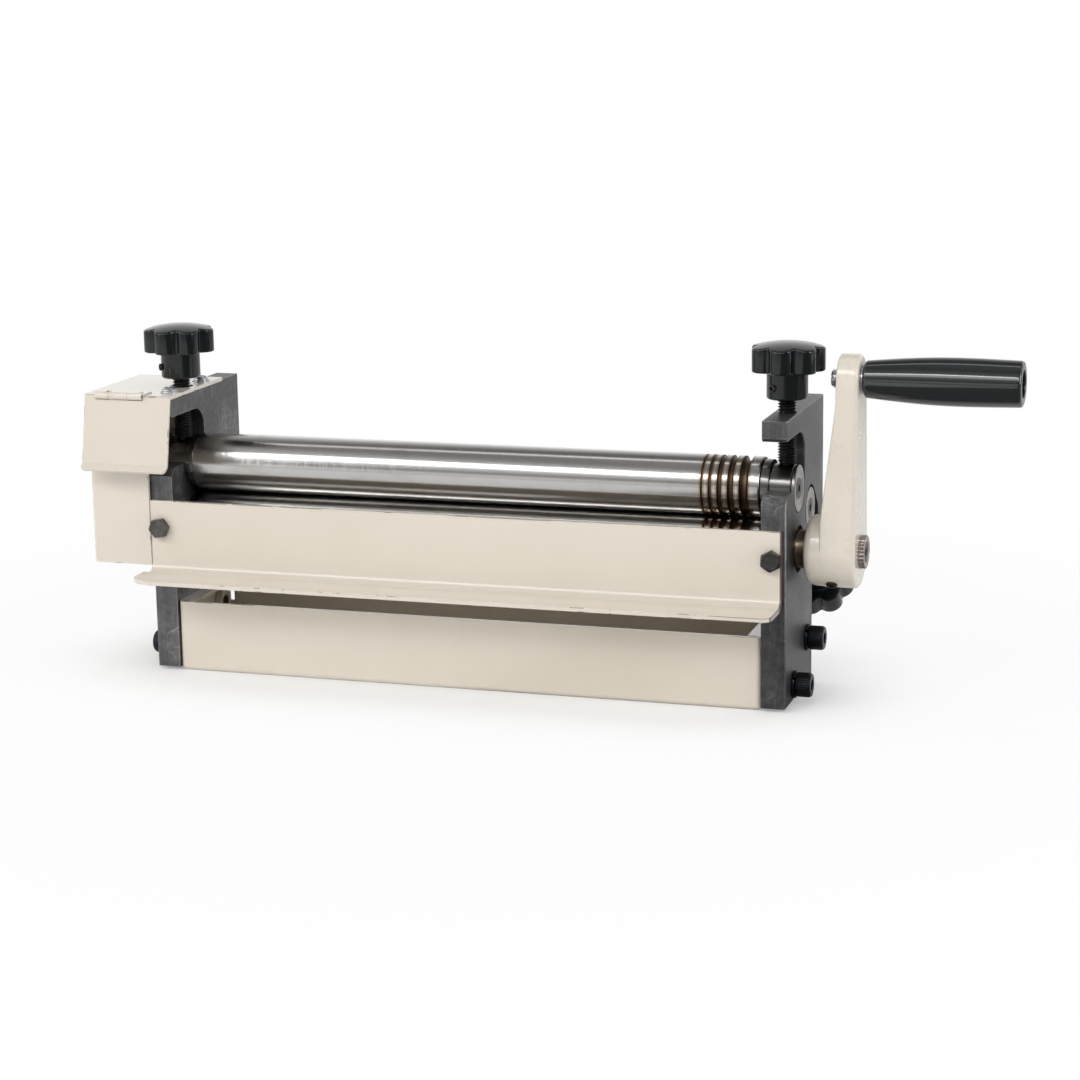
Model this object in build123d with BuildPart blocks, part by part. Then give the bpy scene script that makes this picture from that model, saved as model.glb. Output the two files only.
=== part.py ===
from build123d import *
import os
from math import acos, asin, cos, degrees, pi, radians, sin, sqrt, tan

os.makedirs("parts", exist_ok=True)

# A hand-cranked three-roll slip roll for the bench, in millimetres.
# X runs along the rolls with the crank at +X, Y runs to the back, Z runs up from the bench.
# The origin lies on the bench, midway between the side plates, under the two driving rolls.

# Fits, gaps and cuts
run_clear = 0.05        # radial, for a shaft, screw or pin that turns in its hole
slide_clear = 0.1       # on each side of a bush that slides in its slot
face_gap = 0.3          # between faces of pieces that move against each other
overrun = 1.0           # how far a cutter reaches past the face that it cuts

# Side plates
bed_width = 332.0       # between the inner faces of the plates
plate_t = 13.2
plate_height = 151.8
axis_drop = 72.4        # from the plates' top down to the lower roll's axis
plate_lift = 1.8        # the plates end this far above the bench, and the tray carries them
plate_reach = 31.6      # from the driving rolls' axes forward to the plates' front edge
plate_depth = 92.0      # the plate's upper part, front to back
foot_depth = 65.2       # the plate's lower part, under the slanted face
arm_t = 10.9            # metal above the mouth, which the top screw is tapped through
arm_setback = 1.5       # the arm's nose stands this far behind the post's front
mouth_clear = 2.8       # spare height of the mouth over the bush that slips out through it
mouth_corner_r = 11.0
post_chamfer = 4.3
nose_chamfer = 1.8
slant_angle = 45.0      # the rear slot and its screw run this far below level
slant_wall = 10.0       # metal between the rear slot's end and the slanted face
edge_break = 0.5        # chamfer along the plates' outer outline

# Rolls
roll_d = 32.0
nip = 0.2               # gap between the driving rolls when screwed down
rear_nip = 0.6          # gap from the rear roll to each driving roll at its highest
journal_d = 16.0
crank_journal_d = 20.4
groove_ds = (1.0, 1.6, 2.4, 3.2, 4.8)   # wire grooves, from the middle towards the crank
groove_land = 3.1       # plain metal between grooves
groove_end_land = 5.8   # plain metal between the last groove and the roll's end
roll_edge = 0.6

# Bushes
bush_d = 25.4
bush_flange_d = 29.6
bush_flange_t = 4.4
bush_recess = 2.0       # bush ends stand this far inside the plates' outer faces
lower_bore_d = 25.4
screw_seat_depth = 3.0  # blind seat in a sliding bush for the adjusting screw's tip

# End washers and countersunk socket screws of the rolls
end_washer_t = 1.6
top_end_washer_d = 24.8
rear_end_washer_d = 22.4
end_screw_d = 6.0
end_screw_head_d = 11.5
end_screw_length = 14.0
end_socket_across = 4.0
end_socket_depth = 2.4

# Travel of the rolls
top_travel = 16.0
rear_travel = 11.0

# Gears
gear_teeth = 16
gear_width = 14.0
gear_root_share = 1.25
gear_backlash = 0.16    # taken off each tooth at the pitch circle
pressure_angle = 20.0
flank_steps = 4         # points along each tooth flank
gear_hub_gap = 0.6      # from the plate's outer face to the gear
gear_washer_d = 22.0
gear_washer_t = 2.0
gear_screw_d = 6.0
gear_screw_head_d = 10.0
gear_screw_head_t = 6.0
gear_screw_length = 16.0
gear_socket_across = 5.0
gear_socket_depth = 3.0
key_width = 5.0
key_height = 5.0
key_length = 12.0

# Adjusting screws and star knobs
screw_d = 10.0
screw_tip_d = 6.0
screw_tip_length = 2.6
screw_chamfer = 0.8
knob_d = 39.4
knob_lobes = 7
lobe_r = 6.4
lobe_root_r = 1.6
knob_core_d = 26.0
knob_rim_t = 12.3
knob_crown = 3.0        # rise of the domed top over the rim
knob_hub_d = 21.6
knob_hub_length = 14.6
knob_hub_chamfer = 1.0
knob_bore_depth = 22.0
top_knob_gap = 7.2      # from the arm's top to the top knob's hub, screwed down
rear_knob_gap = 18.7    # from the slanted face to the rear knob's hub, screwed in
set_screw_d = 4.0
set_screw_length = 7.2
set_screw_rise = 6.2    # from the hub's lower end to the set screw
set_socket_across = 2.0
set_socket_depth = 1.6
left_set_turn = 50.0    # degrees from straight ahead, towards the left
right_set_turn = 31.0
left_lobe_turn = 4.7    # degrees from +X to a lobe of the left top knob, seen from above
right_lobe_turn = 12.2

# Crank
crank_radius = 91.0
crank_boss_gap = 5.3    # from the plate's outer face to the crank's boss
crank_span = 27.5       # from the boss's inner face to the arm's outer face
crank_boss_d = 36.0
crank_boss_round = 4.5
crank_arm_hub_d = 38.4
crank_eye_d = 26.0
crank_root_t = 18.5     # the arm's thickness beside the boss
crank_eye_t = 11.5      # the arm's thickness at the spindle
crank_round = 2.2
crank_bore_d = 16.0
crank_set_screw_d = 6.0
crank_set_screw_length = 12.3
crank_set_angle = 35.0  # forward from straight down
crank_set_inset = 13.0  # from the arm's outer face
crank_set_socket_across = 3.0
crank_set_socket_depth = 2.5
crank_washer_d = 17.6
crank_washer_t = 3.2
crank_washer_teeth = 24
crank_washer_notch = 0.5    # radius of the notches round the washer's rim
crank_screw_d = 6.0
crank_screw_head_d = 10.5
crank_screw_head_t = 1.4
crank_washer_floor = 1.4    # metal under the screw's head, which lies in a recess
crank_socket_across = 4.0
crank_socket_depth = 1.0
crank_screw_length = 16.0
crank_shaft_inset = 1.0 # the shaft ends this far inside the arm's outer face

# Handle
spindle_thread_d = 10.0
spindle_stub = 4.2      # the threaded end stands out of the arm's inner face
spindle_collar_d = 15.0
spindle_collar_t = 1.2
spindle_d = 9.0
spindle_head_d = 13.0
spindle_head_t = 5.0
spindle_socket_across = 6.0
spindle_socket_depth = 3.0
grip_length = 81.0
grip_inner_d = 19.2     # at the crank's end
grip_belly_d = 24.6
grip_outer_d = 23.8
grip_belly_share = 0.45 # of the grip's length, from the crank's end
grip_inner_slope_share = 0.096  # rise of the radius along the grip at the crank's end
grip_outer_slope_share = -0.025 # the same at its free end
grip_round = 1.6
grip_pocket_d = 14.6
grip_pocket_depth = 8.0

# Tray between the plates' feet
tray_t = 2.0
tray_height_share = 0.2609  # of the plates' height
tray_front_inset = 0.8  # behind the plates' front edge
tray_depth = 64.0
tray_bend_r = 1.0       # inside radius of the floor's bends
tray_lip = 8.0          # inward fold along the top of each end wall
tray_lip_gap = 3.2       # the fold stops short of the front and back walls
tray_relief_in = 4.5    # from the tray's end to the middle of each relief slot
tray_relief_w = 3.0
tray_relief_drop = 14.0
tray_bolt_d = 8.0
tray_bolt_ys = (-12.1, 19.7)    # from the rolls' axes back
tray_bolt_shares = (0.27, 0.712)    # the same bolts' heights, of the tray's height
tray_bolt_head_d = 13.0
tray_bolt_head_t = 8.0
tray_bolt_socket_across = 6.0
tray_bolt_socket_depth = 4.0
tray_spring_washer_d = 14.6
tray_spring_washer_t = 2.0
tray_nut_across = 13.0
tray_nut_t = 4.0
bench_hole_d = 9.0
bench_hole_in = 26.0    # from the tray's ends
bench_hole_side = 14.0  # from the tray's front and back

# Front guard
guard_left_overlap = 12.9   # how far the panel reaches over the left plate's front edge
guard_right_overlap = 11.3  # the same over the right plate
guard_t = 2.2
guard_rise = 15.6       # the panel's top edge over the lower roll's axis
guard_fall = 26.1       # the flange's underside under the lower roll's axis
guard_flange = 28.3     # reach in front of the plates
guard_heel_r = 5.0      # inside radius of the bend
guard_tongue = 3.4      # the flange runs on past the panel, under the gear housing
guard_tongue_r = 12.0   # rounded corner of the tongue
guard_corner_r = 5.0    # the same at the crank's end
guard_bolt_rise = 0.6   # the bolts over the lower roll's axis
left_guard_bolt_in = 7.1    # from the left plate's inner face to its bolt
right_guard_bolt_in = 6.1
left_guard_bolt_turn = 8.0  # degrees that the bolt's hexagon is turned
right_guard_bolt_turn = 28.0
guard_bolt_d = 6.0
guard_bolt_across = 10.0
guard_bolt_head_t = 4.0
guard_bolt_length = 14.0

# Gear housing and its door
housing_t = 2.0
housing_reach = 35.2    # out from the left plate
housing_fall = 20.9     # the housing's underside under the lower roll's axis
housing_front = 2.8     # the lower front stands this far ahead of the plates' front edge
housing_brow = 1.2      # above the lower front, the side and top reach this much further
housing_depth = 68.3
housing_sill_rise = 34.8    # top of the fixed lower front over the lower roll's axis
housing_top_over = 15.9 # how far the top panel reaches over the left plate
housing_bend_r = 2.4
housing_screw_d = 4.0
housing_screw_head_d = 8.4
housing_screw_head_t = 2.2
housing_screw_round = 1.6
housing_screw_length = 9.0
housing_screw_in = 9.5  # from the plate's outer face
housing_screw_ys = (-21.8, 19.2)
housing_washer_d = 10.0
housing_washer_t = 0.8
housing_screw_hole_d = 13.0
door_t = 1.5
door_width = 51.1
door_front = 6.0        # the closed door's face ahead of the plates' front edge
door_side_gap = 1.0     # from the housing's outer side to the door's edge
door_ajar = 11.0        # degrees that the door hangs open at rest
door_drop = 37.5
door_lip = 4.6          # flared fold along the door's lower edge
door_lip_angle = 35.0   # the fold's lean out of the door's plane
door_corner_r = 2.6
door_top_gap = 0.3      # from the housing's top down to the door's upper edge
hinge_pin_d = 2.0
hinge_knuckle_d = 4.0
hinge_end_knuckle = 8.4
hinge_mid_knuckle = 11.4
hinge_start = 7.7       # from the housing's outer side to the first knuckle
hinge_proud = 0.4       # the pin's axis stands ahead of the door's face
hinge_drop = 0.2        # the pin's axis lies this far under the housing's top face
hinge_leaf_t = 0.8
hinge_leaf_depth = 10.0
hinge_rivet_d = 3.0
hinge_rivet_t = 0.6

# Places that follow from the sizes above
inner_x = bed_width / 2
outer_x = inner_x + plate_t
plate_mid_x = inner_x + plate_t / 2
plate_top_z = plate_lift + plate_height
lower_axis_z = plate_top_z - axis_drop
arm_under_z = plate_top_z - arm_t
front_y = -plate_reach
back_y = front_y + plate_depth
foot_back_y = front_y + foot_depth
roll_r = roll_d / 2
spacing = roll_d + nip
top_axis_z = lower_axis_z + spacing
roll_length = bed_width - 2 * (bush_flange_t + 2 * face_gap)
slot_w = bush_d + 2 * slide_clear
slot_r = slot_w / 2
mouth_height = bush_d + mouth_clear
post_top_z = arm_under_z - mouth_height
rear_axis_y = sqrt((roll_d + rear_nip) ** 2 - (spacing / 2) ** 2)
rear_axis_z = lower_axis_z + spacing / 2
slant_y = cos(radians(slant_angle))
slant_z = -sin(radians(slant_angle))
slant_reach = rear_travel + slot_r + slant_wall
bush_length = plate_t + face_gap - bush_recess
top_hub_height = plate_top_z - top_axis_z + top_knob_gap
rear_hub_height = slant_reach + rear_knob_gap
tray_height = tray_height_share * plate_height
tray_bolt_places = [(y, share * tray_height) for y, share in zip(tray_bolt_ys, tray_bolt_shares)]
guard_top_z = lower_axis_z + guard_rise
guard_flange_z = lower_axis_z - guard_fall
guard_bolt_z = lower_axis_z + guard_bolt_rise
guard_bolt_ins = {"left": left_guard_bolt_in, "right": right_guard_bolt_in}
housing_bottom_z = lower_axis_z - housing_fall
housing_sill_z = lower_axis_z + housing_sill_rise
pitch_r = roll_r
gear_module = roll_d / gear_teeth
crank_boss_x = outer_x + crank_boss_gap
crank_outer_x = crank_boss_x + crank_span
crank_eye_z = lower_axis_z + crank_radius
gear_start = outer_x + gear_hub_gap
gear_end = gear_start + gear_width
gear_mid = gear_start + gear_width / 2


def across(x, y, z, out=1):
    """A plane square to the rolls, facing the side that out points to."""
    return Plane(origin=(x, y, z), x_dir=(0, out, 0), z_dir=(out, 0, 0))


def lathe(x, y, z, out=1):
    """A plane through a roll's axis, whose X direction runs along the axis to the side of out."""
    return Plane(origin=(x, y, z), x_dir=(out, 0, 0), z_dir=(0, -out, 0))


def disc(plane, d, amount, mode=Mode.ADD):
    """A round boss that stands on a plane, or a round hole cut from it."""
    with BuildSketch(plane) as profile:
        Circle(d / 2)
    extrude(profile.sketch, amount=amount, mode=mode)


def hexagon(plane, width, amount, mode=Mode.ADD):
    """A hexagonal head that stands on a plane, or a hexagonal socket cut from it."""
    with BuildSketch(plane) as profile:
        RegularPolygon(radius=width / 2, side_count=6, major_radius=False)
    extrude(profile.sketch, amount=amount, mode=mode)


def slab(plane, x_span, y_span, amount, mode=Mode.ADD):
    """A flat piece over two spans of a plane's own axes, or the cut of the same shape."""
    with BuildSketch(plane) as profile:
        with Locations((sum(x_span) / 2, sum(y_span) / 2)):
            Rectangle(x_span[1] - x_span[0], y_span[1] - y_span[0])
    extrude(profile.sketch, amount=amount, mode=mode)


def turned(plane, *outline, mode=Mode.ADD):
    """Revolve an outline of (along, radius) points about the plane's X direction."""
    with BuildSketch(plane) as profile:
        with BuildLine():
            Polyline(*outline, close=True)
        make_face()
    revolve(profile.sketch, axis=Axis(plane.origin, plane.x_dir), mode=mode)


def nearest_corner(sketch, x, y):
    """The vertex of a sketch that lies nearest to a point of its own plane."""
    return sketch.vertices().sort_by_distance((x, y, 0))[0]


def write(piece, name):
    """Label a finished piece and write it as its own file."""
    piece.part.label = name
    export_step(piece.part, f"parts/{name}.step")


# Each side plate is a hook: a post in front, a mouth over it that the top bush slips out through,
# a vertical slot for the top bush, a slanted slot for the rear bush and a bore for the lower bush.
slant_face_y = rear_axis_y + slant_reach * slant_y
slant_face_z = rear_axis_z + slant_reach * slant_z
slant_top_z = slant_face_z + (back_y - slant_face_y) * slant_y / -slant_z
slant_foot_z = slant_face_z - (slant_face_y - foot_back_y) * slant_y / -slant_z

for side, out in (("left", -1), ("right", 1)):
    with BuildPart() as side_plate:
        with BuildSketch(Plane.YZ.offset(out * plate_mid_x)) as outline:
            with BuildLine():
                Polyline(
                    (front_y, plate_lift),
                    (front_y, post_top_z),
                    (-slot_r, post_top_z),
                    (-slot_r, top_axis_z),
                    (slot_r, top_axis_z),
                    (slot_r, arm_under_z),
                    (front_y + arm_setback, arm_under_z),
                    (front_y + arm_setback, plate_top_z),
                    (back_y, plate_top_z),
                    (back_y, slant_top_z),
                    (foot_back_y, slant_foot_z),
                    (foot_back_y, plate_lift),
                    close=True,
                )
            make_face()
            chamfer(nearest_corner(outline, front_y, post_top_z), post_chamfer)
            chamfer(nearest_corner(outline, front_y + arm_setback, arm_under_z), nose_chamfer)
            fillet(nearest_corner(outline, slot_r, arm_under_z), mouth_corner_r)
            with Locations((0, top_axis_z)):
                Circle(slot_r, mode=Mode.SUBTRACT)
            with Locations((0, lower_axis_z)):
                Circle(lower_bore_d / 2, mode=Mode.SUBTRACT)
            with Locations((
                rear_axis_y + rear_travel / 2 * slant_y,
                rear_axis_z + rear_travel / 2 * slant_z,
            )):
                SlotCenterToCenter(rear_travel, slot_w, rotation=-slant_angle, mode=Mode.SUBTRACT)
        extrude(amount=plate_t / 2, both=True)
        outer_face = side_plate.faces().sort_by(Axis.X)[-1 if out > 0 else 0]
        chamfer(outer_face.outer_wire().edges(), edge_break)
        # The adjusting screws' tapped holes, down through the arm and up through the slanted face
        screw_hole_d = screw_d + 2 * run_clear
        disc(
            Plane((out * plate_mid_x, 0, plate_top_z)), screw_hole_d, -arm_t - overrun,
            mode=Mode.SUBTRACT,
        )
        slant_face = Plane(
            origin=(out * plate_mid_x, slant_face_y, slant_face_z),
            x_dir=(1, 0, 0),
            z_dir=(0, slant_y, slant_z),
        )
        disc(slant_face, screw_hole_d, -slant_wall - slot_r, mode=Mode.SUBTRACT)
        # The tray's bolt holes, right through, and the guard's tapped hole in the front edge
        for y, z in tray_bolt_places:
            disc(across(out * outer_x, y, z, out), tray_bolt_d, -plate_t, mode=Mode.SUBTRACT)
        guard_bolt_x = out * (inner_x + guard_bolt_ins[side])
        disc(
            Plane.XZ.offset(-front_y) * Pos(guard_bolt_x, guard_bolt_z, 0), guard_bolt_d,
            guard_t - guard_bolt_length, mode=Mode.SUBTRACT,
        )
        if side == "left":
            for y in housing_screw_ys:
                disc(
                    Plane((-outer_x + housing_screw_in, y, plate_top_z)), housing_screw_d,
                    housing_t + housing_washer_t - housing_screw_length, mode=Mode.SUBTRACT,
                )
    write(side_plate, f"{side}_side_plate")


# Bushes: flanged sleeves. The lower pair is pressed into the plates, and the others slide.
for side, out in (("left", -1), ("right", 1)):
    flange_x = inner_x - face_gap
    lower_journal_d = crank_journal_d if side == "right" else journal_d
    with BuildPart() as lower_bush:
        with BuildSketch(across(out * inner_x, 0, lower_axis_z, out)):
            Circle(lower_bore_d / 2)
            Circle(lower_journal_d / 2 + run_clear, mode=Mode.SUBTRACT)
        extrude(amount=plate_t - bush_recess)
        with BuildSketch(across(out * inner_x, 0, lower_axis_z, out)):
            Circle(bush_flange_d / 2)
            Circle(lower_journal_d / 2 + run_clear, mode=Mode.SUBTRACT)
        extrude(amount=-bush_flange_t - face_gap)
    write(lower_bush, f"{side}_lower_bush")

    for level, y, z, seat in (
        ("top", 0, top_axis_z, (0, 0, 1)),
        ("rear", rear_axis_y, rear_axis_z, (0, slant_y, slant_z)),
    ):
        with BuildPart() as sliding_bush:
            with BuildSketch(across(out * flange_x, y, z, out)):
                Circle(bush_d / 2)
            extrude(amount=bush_length)
            with BuildSketch(across(out * flange_x, y, z, out)):
                Circle(bush_flange_d / 2)
            extrude(amount=-bush_flange_t)
            with BuildSketch(across(out * flange_x, y, z, out)):
                Circle(journal_d / 2 + run_clear)
            extrude(amount=bush_length + overrun, both=True, mode=Mode.SUBTRACT)
            # The blind seat of the adjusting screw's tip
            screw_seat = Plane(origin=(out * plate_mid_x, y, z), x_dir=(1, 0, 0), z_dir=seat)
            disc(
                screw_seat.offset(bush_d / 2), screw_tip_d + 2 * run_clear, -screw_seat_depth,
                mode=Mode.SUBTRACT,
            )
        write(sliding_bush, f"{side}_{level}_bush")


# The three rolls. Each has a ground body, and the driving pair has wire grooves at the crank's end.
def roll_body(y, z, grooves):
    """The body of a roll about its axis, with broken edges and half-round wire grooves."""
    end = roll_length / 2
    with BuildSketch(lathe(0, y, z)) as profile:
        with BuildLine():
            land_start = end - roll_edge
            land_end = end - groove_end_land
            for d in reversed(grooves):
                Line((land_start, roll_r), (land_end, roll_r))
                ThreePointArc(
                    (land_end, roll_r), (land_end - d / 2, roll_r - d / 2), (land_end - d, roll_r)
                )
                land_start = land_end - d
                land_end = land_start - groove_land
            Polyline(
                (land_start, roll_r),
                (-end + roll_edge, roll_r),
                (-end, roll_r - roll_edge),
                (-end, 0),
                (end, 0),
                (end, roll_r - roll_edge),
                (end - roll_edge, roll_r),
            )
        make_face()
    revolve(profile.sketch, axis=Axis((0, y, z), (1, 0, 0)))


def journal(x_span, d, y, z, out):
    """A plain stub of shaft between two distances out along X."""
    disc(across(out * x_span[0], y, z, out), d, x_span[1] - x_span[0])


def end_screw(y, z, out, mode=Mode.ADD):
    """A countersunk screw driven in flush with a plate's outer face, or the space that it takes."""
    head_r = end_screw_head_d / 2
    shank_r = end_screw_d / 2
    turned(
        lathe(out * outer_x, y, z, -out),
        (0, 0),
        (0, head_r),
        (head_r - shank_r, shank_r),
        (end_screw_length, shank_r),
        (end_screw_length, 0),
        mode=mode,
    )


for name, z in (("lower_roll", lower_axis_z), ("top_roll", top_axis_z)):
    with BuildPart() as driven_roll:
        roll_body(0, z, groove_ds)
        journal((roll_length / 2, gear_end), journal_d, 0, z, -1)
        if name == "lower_roll":
            journal((roll_length / 2, crank_boss_x), crank_journal_d, 0, z, 1)
            journal((crank_boss_x, crank_outer_x - crank_shaft_inset), crank_bore_d, 0, z, 1)
            disc(
                across(crank_outer_x, 0, z), crank_screw_d, -crank_screw_length,
                mode=Mode.SUBTRACT,
            )
        else:
            journal((roll_length / 2, outer_x - end_washer_t), journal_d, 0, z, 1)
            end_screw(0, z, 1, mode=Mode.SUBTRACT)
        disc(
            across(-gear_end, 0, z, -1), gear_screw_d, gear_washer_t - gear_screw_length,
            mode=Mode.SUBTRACT,
        )
        with Locations((-gear_mid, 0, z + journal_d / 2)):
            Box(key_length, key_width, key_height, mode=Mode.SUBTRACT)
    write(driven_roll, name)

with BuildPart() as rear_roll:
    roll_body(rear_axis_y, rear_axis_z, ())
    for out in (-1, 1):
        journal((roll_length / 2, outer_x - end_washer_t), journal_d, rear_axis_y, rear_axis_z, out)
        end_screw(rear_axis_y, rear_axis_z, out, mode=Mode.SUBTRACT)
write(rear_roll, "rear_roll")

# End washers and their countersunk screws, flush with the plates' outer faces
roll_ends = {
    "top": [(0, top_axis_z, 1, top_end_washer_d)],
    "rear": [(rear_axis_y, rear_axis_z, out, rear_end_washer_d) for out in (-1, 1)],
}
for level, ends in roll_ends.items():
    with BuildPart() as end_washers:
        for y, z, out, washer_d in ends:
            disc(across(out * outer_x, y, z, out), washer_d, -end_washer_t)
            end_screw(y, z, out, mode=Mode.SUBTRACT)
    write(end_washers, f"{level}_end_washer")
    with BuildPart() as end_screws:
        for y, z, out, washer_d in ends:
            end_screw(y, z, out)
            hexagon(
                across(out * outer_x, y, z, out), end_socket_across, -end_socket_depth,
                mode=Mode.SUBTRACT,
            )
    write(end_screws, f"{level}_end_screw")


# Spur gears at the left end. Their pitch circle is the roll's own surface, so both rolls pull alike.
def involute(angle):
    """The involute function of a pressure angle."""
    return tan(angle) - angle


def flank_point(r, hand):
    """The point at radius r on one flank of a tooth that stands straight up."""
    half_angle = tooth_half_angle - involute(acos(min(base_r / r, 1)))
    return (r * sin(-hand * half_angle), r * cos(half_angle))


base_r = pitch_r * cos(radians(pressure_angle))
tip_r = pitch_r + gear_module
root_r = pitch_r - gear_root_share * gear_module
foot_r = root_r - gear_backlash
pitch_half_angle = (pi * gear_module / 2 - gear_backlash) / (2 * pitch_r)
tooth_half_angle = pitch_half_angle + involute(radians(pressure_angle))
flank_radii = [base_r + (tip_r - base_r) * step / flank_steps for step in range(flank_steps + 1)]
left_flank = [flank_point(r, 1) for r in flank_radii]
right_flank = [flank_point(r, -1) for r in flank_radii]
left_foot = tuple(value * foot_r / base_r for value in left_flank[0])
right_foot = tuple(value * foot_r / base_r for value in right_flank[0])

with BuildSketch() as gear_tooth:
    with BuildLine():
        Line(left_foot, left_flank[0])
        Spline(*left_flank)
        ThreePointArc(left_flank[-1], (0, tip_r), right_flank[-1])
        Spline(*right_flank)
        Line(right_flank[0], right_foot)
        Line(right_foot, left_foot)
    make_face()

for level, z, first_tooth in (("lower", lower_axis_z, 0), ("top", top_axis_z, 180 / gear_teeth)):
    gear_face = across(-gear_start, 0, z, -1)
    with BuildPart() as gear:
        with BuildSketch(gear_face):
            Circle(root_r)
            with PolarLocations(0, gear_teeth, start_angle=first_tooth):
                add(gear_tooth.sketch)
            Circle(journal_d / 2, mode=Mode.SUBTRACT)
            with Locations((0, journal_d / 2)):
                Rectangle(key_width, key_height, mode=Mode.SUBTRACT)
        extrude(amount=gear_width)
    write(gear, f"{level}_gear")

    with BuildPart() as gear_key:
        with Locations((-gear_mid, 0, z + journal_d / 2)):
            Box(key_length, key_width, key_height)
    write(gear_key, f"{level}_gear_key")

    with BuildPart() as gear_washer:
        disc(across(-gear_end, 0, z, -1), gear_washer_d, gear_washer_t)
        disc(across(-gear_end, 0, z, -1), gear_screw_d, gear_washer_t, mode=Mode.SUBTRACT)
    write(gear_washer, f"{level}_gear_washer")

    with BuildPart() as gear_screw:
        seat = across(-gear_end - gear_washer_t, 0, z, -1)
        disc(seat, gear_screw_head_d, gear_screw_head_t)
        disc(seat, gear_screw_d, -gear_screw_length)
        hexagon(
            seat.offset(gear_screw_head_t), gear_socket_across, -gear_socket_depth,
            mode=Mode.SUBTRACT,
        )
    write(gear_screw, f"{level}_gear_screw")


# Adjusting screws with star knobs: one pair pushes the top roll down, one pushes the rear roll up
dome_r = ((knob_d / 2) ** 2 + knob_crown ** 2) / (2 * knob_crown)
dome_half_angle = asin(knob_d / 2 / dome_r) / 2
rim_top = knob_hub_length + knob_rim_t
dome_middle = (
    rim_top + knob_crown - dome_r * (1 - cos(dome_half_angle)),
    dome_r * sin(dome_half_angle),
)

top_run = (0, top_axis_z, 0, 1, top_hub_height)
rear_run = (rear_axis_y, rear_axis_z, slant_y, slant_z, rear_hub_height)

for name, out, run, set_turn, lobe_turn in (
    ("left_top", -1, top_run, left_set_turn, left_lobe_turn),
    ("right_top", 1, top_run, right_set_turn, right_lobe_turn),
    ("left_rear", -1, rear_run, 0, 0),
    ("right_rear", 1, rear_run, 0, 0),
):
    y, z, run_y, run_z, hub_height = run
    screw_axis = Plane(origin=(out * plate_mid_x, y, z), x_dir=(1, 0, 0), z_dir=(0, run_y, run_z))
    shoulder = screw_axis.offset(bush_d / 2 + face_gap)
    hub = screw_axis.offset(hub_height)
    set_out = hub.x_dir * -sin(radians(set_turn)) - hub.y_dir * cos(radians(set_turn))
    set_axis = Plane(hub.offset(set_screw_rise).origin, x_dir=hub.z_dir, z_dir=set_out)

    with BuildPart() as adjusting_screw:
        disc(shoulder, screw_d, hub_height + knob_bore_depth - bush_d / 2 - face_gap)
        chamfer(adjusting_screw.edges().filter_by(GeomType.CIRCLE), screw_chamfer)
        disc(shoulder, screw_tip_d, -screw_tip_length)
    write(adjusting_screw, f"{name}_screw")

    with BuildPart() as star_knob:
        with BuildSketch(hub.offset(knob_hub_length)) as star:
            Circle(knob_core_d / 2)
            with PolarLocations(knob_d / 2 - lobe_r, knob_lobes, start_angle=lobe_turn):
                Circle(lobe_r)
            valleys = star.vertices().group_by(SortBy.DISTANCE)[0]
            fillet(valleys, lobe_root_r)
        extrude(amount=knob_rim_t + knob_crown)
        with BuildSketch(Plane(hub.origin, x_dir=hub.z_dir, z_dir=hub.x_dir)):
            with BuildLine():
                ThreePointArc((rim_top, knob_d / 2), dome_middle, (rim_top + knob_crown, 0))
                Polyline((rim_top + knob_crown, 0), (0, 0), (0, knob_d / 2), (rim_top, knob_d / 2))
            make_face()
        revolve(axis=Axis(hub.origin, hub.z_dir), mode=Mode.INTERSECT)
        disc(hub, knob_hub_d, knob_hub_length)
        foot = star_knob.faces().filter_by(GeomType.PLANE).sort_by_distance(hub.origin)[0]
        chamfer(foot.outer_wire().edges(), knob_hub_chamfer)
        disc(hub, screw_d, knob_bore_depth, mode=Mode.SUBTRACT)
        disc(set_axis, set_screw_d, knob_hub_d, mode=Mode.SUBTRACT)
    write(star_knob, f"{name}_knob")

    with BuildPart() as knob_set_screw:
        disc(set_axis.offset(screw_d / 2), set_screw_d, set_screw_length)
        hexagon(
            set_axis.offset(screw_d / 2 + set_screw_length), set_socket_across,
            -set_socket_depth, mode=Mode.SUBTRACT,
        )
    write(knob_set_screw, f"{name}_set_screw")


# Crank: a tapering arm on a boss, with the handle's spindle screwed through its eye
arm_inner_x = crank_outer_x - crank_root_t
eye_inner_x = crank_outer_x - crank_eye_t
crank_foot_z = lower_axis_z - crank_arm_hub_d / 2
crank_top_z = crank_eye_z + crank_eye_d / 2
crank_set_axis = Plane(
    origin=(crank_outer_x - crank_set_inset, 0, lower_axis_z),
    x_dir=(1, 0, 0),
    z_dir=(0, -sin(radians(crank_set_angle)), -cos(radians(crank_set_angle))),
)
crank_shaft = across(crank_outer_x, 0, lower_axis_z)
crank_eye = across(crank_outer_x, 0, crank_eye_z)

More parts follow.
